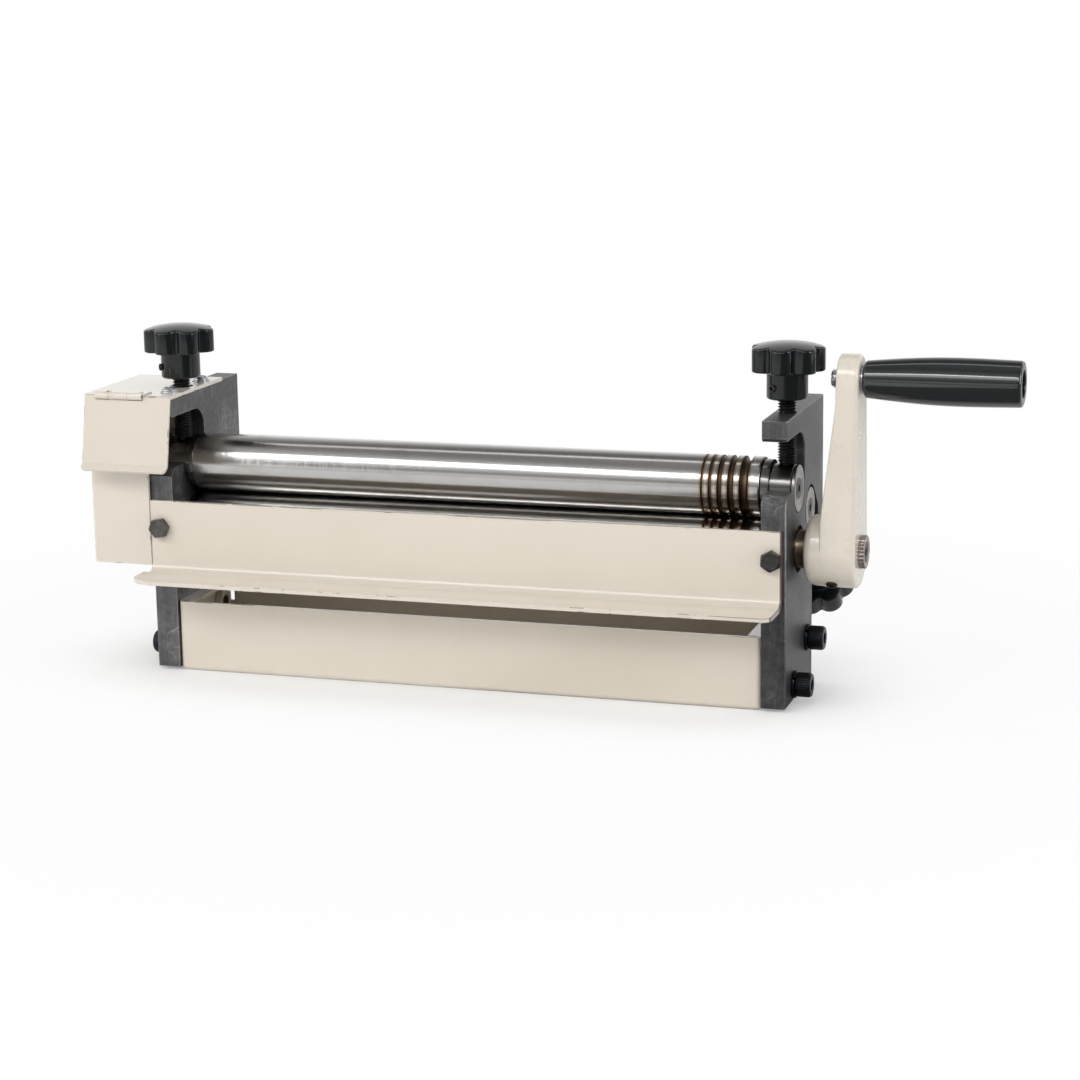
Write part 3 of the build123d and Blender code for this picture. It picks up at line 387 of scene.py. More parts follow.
@dataclass
class Thread:
    """A threaded rod with chamfered ends, and a plain tip at its start where it has one."""

    diameter: float
    pitch: float
    length: float
    tip_d: float = 0.0
    tip_length: float = 0.0
    segments: int = 56
    rows_per_turn: int = 10
    depth_share: float = 0.6134

    def surface(self, axis: Axis) -> Surface:
        """A right-hand thread along an axis.

        At the height z and angle a the phase is z / pitch - a / 2pi. The radius falls from the
        crest by the thread's depth times a triangle wave of the phase, cut flat at crest and
        root. The ends narrow at 45 degrees.

        Args:
            axis: The rod's axis, from the start of the thread.

        Returns:
            The closed surface.
        """
        depth = self.depth_share * self.pitch
        rows = int(self.length / self.pitch * self.rows_per_turn)
        z = np.linspace(0, self.length, rows)[:, None]
        angle = np.linspace(0, 2 * math.pi, self.segments, endpoint=False)[None, :]
        phase = (z / self.pitch - angle / (2 * math.pi)) % 1.0
        wave = np.clip((np.abs(phase - 0.5) * 2 - 0.12) / 0.7, 0, 1)
        ends = np.minimum(z, self.length - z) + self.diameter / 2 - depth * 1.1
        radius = np.minimum(self.diameter / 2 - depth * wave, ends)
        along = z + 0 * radius
        none = np.zeros_like(radius[:1])
        tip, tip_z = [none], [none]
        if self.tip_length:
            tip = [none, none + self.tip_d / 2, none + self.tip_d / 2]
            tip_z = [none - self.tip_length, none - self.tip_length, none]
        radius = np.concatenate([*tip, radius, none])
        along = np.concatenate([*tip_z, along, none + self.length])
        points = axis.place(radius * np.cos(angle), radius * np.sin(angle), along)
        return Surface.grid(points)


@dataclass
class BentSheet:
    """A sheet of even thickness bent along X: a profile in Y and Z, and its two ends."""

    corners: Sequence[tuple[float, float]]
    bend: float
    thickness: float
    edge: float = 0.35 * MM
    bend_steps: int = 9

    def middle(self) -> tuple[Array, Array]:
        """The mid-surface's profile.

        Returns:
            Its (n, 2) points, and the distance run at each.
        """
        radii = np.full(len(self.corners), self.bend + self.thickness / 2)
        path, _ = rounded(np.array(self.corners), radii, self.bend_steps)
        runs = np.linalg.norm(np.diff(path, axis=0), axis=1)
        return path, np.concatenate([[0], np.cumsum(runs)])

    def piece(
        self,
        name: str,
        stations: Array,
        low: Callable[[Array], Array],
        high: Callable[[Array], Array],
        columns: int = 24,
    ) -> bpy.types.Object:
        """The sheet as an object with its thickness and its broken edges as modifiers.

        A point is at x = low + u (high - low), where the ends low and high change with the
        distance s along the profile, which rounds the sheet's corners.

        Args:
            name: The piece's name.
            stations: Further distances s along the profile that need a row of points.
            low: The low end's x at each s.
            high: The high end's x at each s.
            columns: Faces from end to end.

        Returns:
            The object.
        """
        path, run = self.middle()
        s = np.unique(np.concatenate([run, stations[(stations > 0) & (stations < run[-1])]]))
        y = np.interp(s, run, path[:, 0])[:, None]
        z = np.interp(s, run, path[:, 1])[:, None]
        share = np.linspace(0, 1, columns + 1)[None, :]
        x = low(s)[:, None] * (1 - share) + high(s)[:, None] * share
        sheet = Surface.grid(np.stack([x, y + 0 * x, z + 0 * x], axis=-1), loop_cols=False)
        made = sheet.piece(name, sharp=60)
        wall = made.modifiers.new("Thickness", "SOLIDIFY")
        wall.thickness = self.thickness
        wall.offset = 0
        wall.use_even_offset = True
        break_edges(made, self.edge, 50)
        return made


def break_edges(piece: bpy.types.Object, width: float, sharp: float) -> None:
    """Rounds a piece's edges that are sharper than an angle, and keeps its flats flat.

    Args:
        piece: The object.
        width: The rounding's width.
        sharp: The angle in degrees.
    """
    bevel = piece.modifiers.new("Edges", "BEVEL")
    bevel.width = width
    bevel.segments = 2
    bevel.limit_method = "ANGLE"
    bevel.angle_limit = math.radians(sharp)
    bevel.harden_normals = True
    bevel.miter_outer = "MITER_ARC"


def corner_run(s: Array, start: float, end: float, radius: float) -> Array:
    """How far a rounded corner pulls a sheet's end back: r - sqrt(r^2 - d^2) over its last r.

    Args:
        s: Distances along the sheet's profile.
        start: Where the end that has the corner starts.
        end: Where the profile ends.
        radius: The corner's radius r.

    Returns:
        The pull at each distance.
    """
    into = np.clip(s - (end - radius), 0, radius)
    return np.where(s >= start, radius - np.sqrt(np.maximum(radius**2 - into**2, 0)), 0)


Value = Union["Signal", float]


class Signal:
    """A number that varies over a surface: a shader socket that takes part in arithmetic."""

    def __init__(self, graph: "Graph", socket: bpy.types.NodeSocket) -> None:
        """Wraps a socket of a graph."""
        self.graph = graph
        self.socket = socket

    def _math(self, operation: str, a: Value, b: Value = 0.0) -> "Signal":
        """A Math node on two values."""
        return self.graph.signal(
            "ShaderNodeMath", {"operation": operation}, {"Value": a, "Value_001": b}
        )

    def __add__(self, other: Value) -> "Signal":
        """The sum."""
        return self._math("ADD", self, other)

    def __sub__(self, other: Value) -> "Signal":
        """The difference."""
        return self._math("SUBTRACT", self, other)

    def __rsub__(self, other: Value) -> "Signal":
        """The difference, the other way round."""
        return self._math("SUBTRACT", other, self)

    def __mul__(self, other: Value) -> "Signal":
        """The product."""
        return self._math("MULTIPLY", self, other)

    __radd__ = __add__
    __rmul__ = __mul__

    def smooth(self, low: float, high: float) -> "Signal":
        """0 below low, 1 above high and a smooth step between, falling where low is greater.

        Args:
            low: Where the step starts.
            high: Where it ends.

        Returns:
            The step.
        """
        return self.graph.signal(
            "ShaderNodeMapRange",
            {"interpolation_type": "SMOOTHSTEP"},
            {"Value": self, "From Min": low, "From Max": high, "To Min": 0.0, "To Max": 1.0},
        )


class Graph:
    """The node tree of one material, or of the world."""

    def __init__(
        self,
        owner: Union[bpy.types.Material, bpy.types.World],
        output: str = "ShaderNodeOutputMaterial",
    ) -> None:
        """Empties a node tree and gives it its output.

        Args:
            owner: The material or the world.
            output: The type of its output node.
        """
        owner.use_nodes = True
        self.tree = owner.node_tree
        self.tree.nodes.clear()
        self.out = self.node(output)

    def node(
        self,
        kind: str,
        settings: Optional[dict[str, Any]] = None,
        inputs: Optional[dict[Union[int, str], Any]] = None,
    ) -> bpy.types.Node:
        """Adds a node.

        Args:
            kind: The node's type.
            settings: Its own properties, set first.
            inputs: Values or links by its sockets' identifiers, names or numbers.

        Returns:
            The node.
        """
        made = self.tree.nodes.new(kind)
        for key, value in (settings or {}).items():
            setattr(made, key, value)
        for key, value in (inputs or {}).items():
            if isinstance(key, int):
                socket = made.inputs[key]
            else:
                named = [s for s in made.inputs if key in (s.identifier, s.name)]
                socket = min(named, key=lambda s: s.identifier != key)
            if isinstance(value, Signal):
                self.tree.links.new(value.socket, socket)
            elif isinstance(value, bpy.types.NodeSocket):
                self.tree.links.new(value, socket)
            else:
                socket.default_value = value
        return made

    def signal(
        self,
        kind: str,
        settings: Optional[dict[str, Any]] = None,
        inputs: Optional[dict[str, Any]] = None,
        output: Union[int, str] = 0,
    ) -> Signal:
        """Adds a node and wraps one of its outputs."""
        return Signal(self, self.node(kind, settings, inputs).outputs[output])

    def place(self, stretch: Point = (1.0, 1.0, 1.0)) -> bpy.types.NodeSocket:
        """Object coordinates, stretched along each axis."""
        at = self.node("ShaderNodeTexCoord").outputs["Object"]
        return self.node("ShaderNodeMapping", None, {"Vector": at, "Scale": stretch}).outputs[0]

    def wrap(self, stretch: Point) -> bpy.types.NodeSocket:
        """The piece's own map: round the piece and along its profile, stretched."""
        at = self.node("ShaderNodeUVMap", {"uv_map": "Surface"}).outputs[0]
        return self.node("ShaderNodeMapping", None, {"Vector": at, "Scale": stretch}).outputs[0]

    def measure(self, operation: str, *vectors: Any) -> Signal:
        """A number from vectors, such as their dot product or their distance."""
        return self.signal(
            "ShaderNodeVectorMath", {"operation": operation}, dict(enumerate(vectors)), "Value"
        )

    def noise(
        self,
        scale: float,
        detail: float = 4.0,
        rough: float = 0.55,
        at: Optional[bpy.types.NodeSocket] = None,
    ) -> Signal:
        """Noise from 0 to 1.

        Args:
            scale: Its scale, in cells per metre of the coordinates.
            detail: How many finer octaves are added.
            rough: How strong each finer octave is.
            at: The coordinates, if they aren't the object's own.

        Returns:
            The noise.
        """
        where = at or self.place()
        values = {"Vector": where, "Scale": scale, "Detail": detail, "Roughness": rough}
        return self.signal("ShaderNodeTexNoise", None, values)

    def edges(self, radius: float) -> Signal:
        """0 on flats, rising towards 1 on edges.

        It is 1 less the dot product of the surface's normal and of the normal averaged over a
        radius.

        Args:
            radius: The radius.

        Returns:
            The edges' mask.
        """
        soft = self.node("ShaderNodeBevel", {"samples": 6}, {"Radius": radius}).outputs[0]
        true = self.node("ShaderNodeNewGeometry").outputs["Normal"]
        return 1.0 - self.measure("DOT_PRODUCT", soft, true)

    def mix(self, share: Value, low: Any, high: Any) -> bpy.types.NodeSocket:
        """A colour between two, by a share.

        Args:
            share: The second colour's share.
            low: The first colour, or its socket.
            high: The second colour, or its socket.

        Returns:
            The colour's socket.
        """
        made = self.node(
            "ShaderNodeMix",
            {"data_type": "RGBA"},
            {"Factor_Float": share, "A_Color": rgba(low), "B_Color": rgba(high)},
        )
        return next(s for s in made.outputs if s.identifier == "Result_Color")

    def ramp(
        self, at: bpy.types.NodeSocket, stops: Sequence[tuple[float, Colour]]
    ) -> bpy.types.NodeSocket:
        """A colour ramp over a value.

        Args:
            at: The value.
            stops: Each stop's position and colour.

        Returns:
            The ramp's colour socket.
        """
        made = self.node("ShaderNodeValToRGB", None, {0: at})
        marks = made.color_ramp.elements
        for _ in stops[2:]:
            marks.new(0.5)
        for mark, (position, colour) in zip(marks, stops):
            mark.position, mark.color = position, rgba(colour)
        return made.outputs["Color"]

    def bump(self, height: Signal, distance: float) -> bpy.types.NodeSocket:
        """A normal from a height in units of a distance."""
        values = {"Height": height, "Distance": distance, "Strength": 1.0}
        return self.node("ShaderNodeBump", None, values).outputs[0]

    def blend(
        self, share: Value, low: bpy.types.NodeSocket, high: bpy.types.NodeSocket
    ) -> bpy.types.NodeSocket:
        """A shader between two, by a share."""
        return self.node("ShaderNodeMixShader", None, {0: share, 1: low, 2: high}).outputs[0]

    def ray(self, kind: str) -> Signal:
        """Whether the surface is seen by one kind of ray, such as the camera's."""
        return self.signal("ShaderNodeLightPath", None, None, f"Is {kind} Ray")

    def close(self, shader: bpy.types.NodeSocket) -> None:
        """Links a shader to the output."""
        self.tree.links.new(shader, self.out.inputs[0])

    def principled(self, **inputs: Any) -> bpy.types.NodeSocket:
        """A principled shader, from its sockets' names with underscores for spaces."""
        named = {key.replace("_", " "): value for key, value in inputs.items()}
        return self.node("ShaderNodeBsdfPrincipled", None, named).outputs[0]


def rgba(colour: Any) -> Any:
    """A colour with its alpha, or a socket as it is."""
    return (*colour, 1.0) if isinstance(colour, tuple) and len(colour) == 3 else colour


@dataclass(frozen=True)
class Finish:
    """A finish that pieces wear. Each kind makes its own material, once."""

    name: str
    slot: str

    def material(self) -> bpy.types.Material:
        """The finish's material.

        Returns:
            The material, made when it is first asked for.
        """
        title = f"finish_{self.name}"
        made = bpy.data.materials.get(title)
        if made is None:
            made = bpy.data.materials.new(title)
            graph = Graph(made)
            graph.close(self.shader(graph))
        return made

    def shader(self, graph: Graph) -> bpy.types.NodeSocket:
        """The finish's shader, from nodes in an empty graph."""
        raise NotImplementedError

    def wear(self, piece: bpy.types.Object) -> None:
        """Puts the finish on a new piece."""
        piece.data.materials.append(self.material())


@dataclass(frozen=True)
class Paint(Finish):
    """Cream paint on sheet or castings, with faint orange peel, grime, chipped edges and a painted
    highlight along its edges.

    Each scuff is a spot and a radius, inside which more of the edge is chipped. Past the x set by the
    last field, along X, the sheet's end is dark red-brown: partly its bare, rusty raw edge, partly
    painted shade.
    """

    colour: Colour = (0.752, 0.688, 0.598)
    shade_colour: Colour = (0.70, 0.632, 0.538)
    primer: Colour = (0.072, 0.068, 0.052)
    rusty: Colour = (0.20, 0.105, 0.048)
    # a lighter cream for the painted highlight along edges
    edge_highlight_colour: Colour = (0.82, 0.765, 0.68)
    speck_colour: Colour = (0.42, 0.36, 0.26)
    # the sheet end's dark red-brown: partly its raw edge's colour, partly painted shade
    raw_edge_and_shade_colour: Colour = (0.095, 0.042, 0.034)
    roughness: float = 0.34
    peel: float = 0.035 * MM
    chip_from: float = 0.56
    scuffs: tuple[tuple[Point, float], ...] = ()
    # where along X the dark end starts: partly raw edge, partly painted shade
    dark_end_from: float = 1.0

    def shader(self, graph: Graph) -> bpy.types.NodeSocket:
        """Cloudy colour, a painted highlight on edges, chips where an edge meets a patch of noise,
        and a fine uneven skin.

        Args:
            graph: The material's empty graph.

        Returns:
            The shader.
        """
        edge = graph.edges(0.9 * MM).smooth(0.015, 0.10)
        patches = graph.noise(95.0, 5.0, 0.62)
        for spot, radius in self.scuffs:
            away = graph.measure("DISTANCE", graph.place(), spot)
            patches = patches + away.smooth(radius, radius * 0.2) * 0.20
        chips = edge * patches.smooth(self.chip_from, self.chip_from + 0.05)
        clouds = graph.noise(14.0, 3.0).smooth(0.35, 0.75)
        specks = graph.noise(900.0, 2.0).smooth(0.74, 0.80) * graph.noise(22.0).smooth(0.5, 0.7)
        colour = graph.mix(clouds * 0.5, self.colour, self.shade_colour)
        # painted highlight: the edges are lightened towards a lighter cream
        colour = graph.mix(edge * 0.3, colour, self.edge_highlight_colour)
        colour = graph.mix(specks * 0.5, colour, self.speck_colour)
        bared = graph.mix(graph.noise(60.0, 3.0).smooth(0.45, 0.6), self.primer, self.rusty)
        colour = graph.mix(chips, colour, bared)
        # the sheet's end darkened to red-brown: partly its raw edge, partly painted shade
        if self.dark_end_from < 1.0:
            across = graph.signal("ShaderNodeSeparateXYZ", None, {0: graph.place()}, "X")
            side = across.smooth(self.dark_end_from - 0.3 * MM, self.dark_end_from)
            colour = graph.mix(side * 0.85, colour, self.raw_edge_and_shade_colour)
        rough = graph.noise(60.0, 4.0) * 0.10 + (self.roughness - 0.05) + chips * 0.3
        skin = graph.noise(420.0, 2.0) - chips * 2.2
        return graph.principled(
            Base_Color=colour, Roughness=rough, Coat_Weight=0.9, Coat_Roughness=0.07,
            Normal=graph.bump(skin, self.peel),
        )


@dataclass(frozen=True)
class PlateSteel(Finish):
    """Dark rolled plate: mottled scale, scratches, faint streaks, brown stains, and light edges,
    partly wear and partly a painted highlight.
    """

    dark: Colour = (0.076, 0.076, 0.079)
    light: Colour = (0.205, 0.203, 0.207)
    stain: Colour = (0.115, 0.085, 0.062)
    # the edges' light colour: partly worn bare metal, partly a painted edge highlight
    worn: Colour = (0.50, 0.49, 0.48)
    roughness: float = 0.40

    def scratches(self, graph: Graph) -> Signal:
        """Thin broken lines: the crests of noise that is stretched along two directions.

        Args:
            graph: The material's graph.

        Returns:
            The lines' mask.
        """
        lines = 0.0
        for stretch in ((5.0, 90.0, 5.0), (5.0, 9.0, 80.0)):
            run = graph.noise(9.0, 2.0, 0.5, graph.place(stretch))
            lines = lines + run.smooth(0.48, 0.5) * run.smooth(0.52, 0.5)
        return lines * graph.noise(30.0, 3.0).smooth(0.5, 0.66)

    def shader(self, graph: Graph) -> bpy.types.NodeSocket:
        """Blotches of scale, scratches, and light edges where a patch of noise allows: partly worn
        metal, partly a painted edge highlight.

        Args:
            graph: The material's empty graph.

        Returns:
            The shader.
        """
        edge = graph.edges(0.8 * MM).smooth(0.015, 0.12)
        blotch = graph.noise(30.0, 7.0, 0.70)
        fine = graph.noise(330.0, 5.0, 0.65)
        streak = graph.noise(60.0, 3.0, 0.5, graph.place((14.0, 14.0, 1.0)))
        scratch = self.scratches(graph)
        tone = blotch * 0.5 + fine * 0.34 + streak * 0.2
        colour = graph.mix(tone.smooth(0.32, 0.72), self.dark, self.light)
        stained = graph.noise(42.0, 6.0, 0.7).smooth(0.58, 0.74)
        colour = graph.mix(stained * 0.35, colour, self.stain)
        specks = graph.noise(700.0, 2.0).smooth(0.68, 0.76)
        # light edges: partly worn bare metal, partly painted highlight lines along the edges
        bare = edge * graph.noise(120.0, 4.0).smooth(0.30, 0.56)
        colour = graph.mix(bare * 0.8 + specks * 0.3 + scratch * 0.45, colour, self.worn)
        rough = tone * 0.26 + (self.roughness - 0.08) - bare * 0.12
        return graph.principled(
            Base_Color=colour, Metallic=0.9, Roughness=rough,
            Normal=graph.bump(fine + streak * 0.6 + blotch * 1.4 - scratch * 0.8, 0.045 * MM),
        )


@dataclass(frozen=True)
class TurnedSteel(Finish):
    """Turned, ground or plated steel, with rings round the piece's own axis and some tarnish."""

    colour: Colour = (0.56, 0.55, 0.54)
    tarnish: Colour = (0.26, 0.22, 0.17)
    roughness: float = 0.2
    rings: float = 0.06 * MM
    blotch: float = 0.3
    rust: Colour = (0.060, 0.034, 0.020)
    bloom: Colour = (0.36, 0.26, 0.165)

    def shader(self, graph: Graph) -> bpy.types.NodeSocket:
        """Rings from noise along the profile, blotches, and rust where the piece is marked.

        Args:
            graph: The material's empty graph.

        Returns:
            The shader.
        """
        lines = graph.noise(1.0, 3.0, 0.6, graph.wrap((6.0, 2600.0, 1.0)))
        broad = graph.noise(1.0, 3.0, 0.6, graph.wrap((5.0, 260.0, 1.0)))
        stain = graph.noise(34.0, 6.0, 0.66)
        colour = graph.mix(stain.smooth(0.5, 0.78) * self.blotch, self.colour, self.tarnish)
        mark = graph.signal("ShaderNodeAttribute", {"attribute_name": "rust"}, None, "Fac")
        patches = graph.noise(1.0, 4.0, 0.6, graph.wrap((9.0, 420.0, 1.0)))
        tint = (mark * 1.1 + patches * 0.8 - 0.62).smooth(0.0, 0.6)
        rusty = (mark + patches * 0.25 - 0.12).smooth(0.86, 1.0)
        colour = graph.mix(tint * 0.8, colour, self.bloom)
        colour = graph.mix(rusty * 0.9, colour, self.rust)
        rough = lines * 0.07 + broad * 0.06 + stain * 0.08 + rusty * 0.25 + (self.roughness - 0.1)
        return graph.principled(
            Base_Color=colour, Metallic=1.0, Roughness=rough,
            Normal=graph.bump(lines + broad * 0.15, self.rings),
        )


@dataclass(frozen=True)
class Plastic(Finish):
    """Moulded black plastic: polished or satin, with faint flow marks, handling haze and a painted
    highlight on its rims.
    """

    colour: Colour = (0.0022, 0.0046, 0.0054)
    roughness: float = 0.16
    shine: float = 0.22
    haze_colour: Colour = (0.006, 0.008, 0.0088)
    # the painted highlight's colour on edges and rims
    rim_highlight_colour: Colour = (0.10, 0.11, 0.115)

    def shader(self, graph: Graph) -> bpy.types.NodeSocket:
        """A near-black body with haze in its roughness, and a painted highlight along its edges,
        which are rougher.

        Args:
            graph: The material's empty graph.

        Returns:
            The shader.
        """
        haze = graph.noise(70.0, 5.0, 0.6)
        # painted highlight: edges, where a patch of noise allows, are lightened to bright rim lines
        edge = graph.edges(0.6 * MM).smooth(0.02, 0.2) * graph.noise(200.0).smooth(0.35, 0.55)
        colour = graph.mix(haze.smooth(0.4, 0.8) * 0.4, self.colour, self.haze_colour)
        colour = graph.mix(edge * 0.6, colour, self.rim_highlight_colour)
        rough = haze * 0.10 + (self.roughness - 0.045) + edge * 0.12
        return graph.principled(
            Base_Color=colour, Roughness=rough, Specular_IOR_Level=self.shine,
            Normal=graph.bump(graph.noise(180.0, 3.0), 0.02 * MM),
        )


@dataclass(frozen=True)
class Oxide(Finish):
    """Blackened or plated screw steel, worn brighter on its edges."""

    colour: Colour = (0.028, 0.028, 0.030)
    worn: Colour = (0.22, 0.215, 0.21)
    roughness: float = 0.34
    metallic: float = 0.85
    wear_share: float = 0.7

    def shader(self, graph: Graph) -> bpy.types.NodeSocket:
        """Mottled oxide, and bare metal on edges where a patch of noise allows.

        Args:
            graph: The material's empty graph.

        Returns:
            The shader.
        """
        mottle = graph.noise(140.0, 5.0, 0.62)
        edge = graph.edges(0.45 * MM).smooth(0.02, 0.18)
        bare = edge * graph.noise(260.0, 3.0).smooth(0.38, 0.6)
        light = tuple(min(1.0, value * 1.9) for value in self.colour)
        colour = graph.mix(mottle.smooth(0.35, 0.75), self.colour, light)
        colour = graph.mix(bare * self.wear_share, colour, self.worn)
        rough = mottle * 0.2 + (self.roughness - 0.1)
        return graph.principled(
            Base_Color=colour, Metallic=self.metallic, Roughness=rough,
            Normal=graph.bump(mottle, 0.02 * MM),
        )


SHEET_PAINT = Paint("cream_sheet_paint", "cream_sheet")
GUARD_PAINT = Paint(
    "guard_paint",
    "cream_sheet",
    chip_from=0.58,
    scuffs=(
        ((-0.12, -0.033, 0.097), 0.075),
        ((0.02, -0.033, 0.097), 0.04),
        ((0.17, -0.058, 0.056), 0.05),
        *(((0.178, -0.033, height), 0.012) for height in (0.066, 0.078, 0.09)),
        *(((0.178, -0.033, height), 0.010) for height in (0.072, 0.084, 0.096)),
    ),
    # its crank-side end is dark red-brown: partly raw edge, partly painted shade
    dark_end_from=0.1766,
)
TRAY_PAINT = Paint(
    "tray_paint",
    "cream_sheet",
    chip_from=0.6,
    scuffs=(((0.163, -0.029, 0.039), 0.022), ((-0.155, -0.029, 0.039), 0.02)),
)
CAST_PAINT = Paint(
    "cream_cast_paint",
    "cream_casting",
    roughness=0.28,
    peel=0.004 * MM,
    chip_from=0.78,
    scuffs=(((0.212, 0.012, 0.07), 0.02), ((0.212, 0.008, 0.185), 0.014)),
)
PLATE = PlateSteel("plate_steel", "plate_steel")
ROLL = TurnedSteel("ground_roll_steel", "roll_steel", roughness=0.16)
BUSH = TurnedSteel(
    "bush_steel", "bush_steel", (0.18, 0.178, 0.17), (0.06, 0.056, 0.05), 0.17, blotch=0.9
)
WASHER = TurnedSteel(
    "end_washer_steel", "washer_steel", (0.30, 0.292, 0.28), (0.15, 0.135, 0.115), 0.27
)
RETAINER = TurnedSteel("retainer_steel", "zinc", (0.42, 0.37, 0.35), (0.26, 0.20, 0.17), 0.33)
ZINC = TurnedSteel("zinc_plate", "zinc", (0.60, 0.61, 0.63), (0.42, 0.38, 0.30), 0.28)
KNOB = Plastic("knob_plastic", "knob_plastic", roughness=0.15, shine=0.5)
GRIP = Plastic("grip_plastic", "grip_plastic", (0.0060, 0.0085, 0.0095), 0.085, 1.0)
GEAR = Oxide("gear_steel", "gear_steel", (0.20, 0.195, 0.19), (0.5, 0.49, 0.48), 0.36, 1.0)
THREAD = Oxide("screw_thread", "dark_screws", (0.022, 0.021, 0.021), (0.2, 0.19, 0.18), 0.32)
PIN = Oxide("plain_zinc", "zinc", (0.34, 0.34, 0.35), (0.6, 0.6, 0.6), 0.34, 1.0)
DARK_SCREW = Oxide("dark_screw", "dark_screws", (0.035, 0.033, 0.032), roughness=0.36)
BLACK_SCREW = Oxide("black_oxide", "black_oxide", (0.016, 0.018, 0.021), (0.12, 0.125, 0.13), 0.30)
HEX_BOLT = Oxide(
    "bolt_steel", "bolt_steel", (0.078, 0.075, 0.072), (0.32, 0.30, 0.28), 0.30, 0.95
)
OLD_BRASS = Oxide(
    "aged_brass", "aged_brass", (0.030, 0.020, 0.013), (0.11, 0.075, 0.05), 0.40, 0.9
)


def settle(piece: bpy.types.Object, finish: Finish, body: str, node: str) -> None:
    """Dresses a new piece, lets it ride on its body and puts it in its solids' place.

    Args:
        piece: The piece.
        finish: The finish that it wears.
        body: The body that it rides on.
        node: The node whose solids it stands for.
    """
    finish.wear(piece)
    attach(piece, body)
    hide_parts(node)
    LOG.info("%s rides on %s: %d faces", piece.name, body, len(piece.data.polygons))


def socket_rings(top: float, across: float, depth: float) -> list[Ring]:
    """The rings of a hexagonal socket, from its mouth down to the drill point.

    Args:
        top: The height of its mouth.
        across: Its width across the flats.
        depth: Its depth.

    Returns:
        The rings.
    """
    return [
        Ring(top, across * 0.5 + 0.25 * MM),
        Ring(top - 0.2 * MM, across / 2, 0.0, Outline.HEXAGON),
        Ring(top - depth, across / 2, 0.0, Outline.HEXAGON),
        Ring(top - depth - across * 0.2, 0.0),
    ]


def solid_copy(node: str, finish: Finish, body: str, edge: float) -> None:
    """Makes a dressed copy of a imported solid, with its loose faces joined and its edges broken.

    Corners closer than a micrometre are one, and a face that has lost a corner goes.

    Args:
        node: The solid's node.
        finish: The finish that it wears.
        body: The body that it rides on.
        edge: The width of the broken edges.
    """
    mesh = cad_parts[node].data
    points = np.empty(len(mesh.vertices) * 3, np.float32)
    mesh.vertices.foreach_get("co", points)
    corners = np.empty(len(mesh.loops), np.int32)
    mesh.loops.foreach_get("vertex_index", corners)
    cells = np.round(points.reshape(-1, 3) * 1e6).astype(np.int64)
    _, first, joined = np.unique(cells, axis=0, return_index=True, return_inverse=True)
    tris = joined.ravel()[corners].reshape(-1, 3)
    tris = tris[(tris != np.roll(tris, 1, axis=1)).all(axis=1)]
    whole = Surface(
        points.reshape(-1, 3)[first].astype(float), np.zeros((0, 4), int), tris,
        np.zeros((0, 4, 2)), np.zeros((len(tris), 3, 2)),
    )
    piece = whole.piece(f"dressed_{node}", sharp=34)
    break_edges(piece, edge, 34)
    settle(piece, finish, body, node)


@dataclass
class Plates:
    """The two side plates, with the bushes that their rolls run in."""

    inner_x: float = 166.0 * MM
    bush_end: float = 177.2 * MM
    flange_in: float = 161.3 * MM
    flange_t: float = 4.4 * MM
    bush_r: float = 12.7 * MM
    flange_r: float = 14.8 * MM
    journal_r: float = 8.05 * MM
    crank_journal_r: float = 10.25 * MM

    def bush(self, out: int, level: str) -> Surface:
        """A flanged bush: a sleeve whose section is carried round its roll's axis.

        Args:
            out: -1 for the gears' side and 1 for the crank's.
            level: The roll, as "lower", "top" or "rear".

        Returns:
            The closed surface.
        """
        bore = self.crank_journal_r if (out, level) == (1, "lower") else self.journal_r
        top_of_flange = self.inner_x if level == "lower" else self.flange_in + self.flange_t
        y, z = {"lower": LOWER_AXIS, "top": TOP_AXIS, "rear": REAR_AXIS}[level]
        rings = [
            Ring(self.flange_in, bore, 0.3 * MM),
            Ring(self.flange_in, self.flange_r, 0.3 * MM),
            Ring(top_of_flange, self.flange_r, 0.3 * MM),
            Ring(top_of_flange, self.bush_r),
            Ring(self.bush_end, self.bush_r, 0.5 * MM),
            Ring(self.bush_end, bore, 0.6 * MM),
        ]
        return Turning(rings, sleeve=True).surface(Axis((0.0, y, z), (float(out), 0.0, 0.0)))

    def build(self) -> None:
        """Makes the plates and the six bushes."""
        riders = {"lower": "frame", "top": "top_carriage", "rear": "rear_carriage"}
        for side, out in (("left", -1), ("right", 1)):
            solid_copy(f"{side}_side_plate", PLATE, "frame", 0.55 * MM)
            for level, body in riders.items():
                piece = self.bush(out, level).piece(f"{side}_{level}_sleeve")
                settle(piece, BUSH, body, f"{side}_{level}_bush")


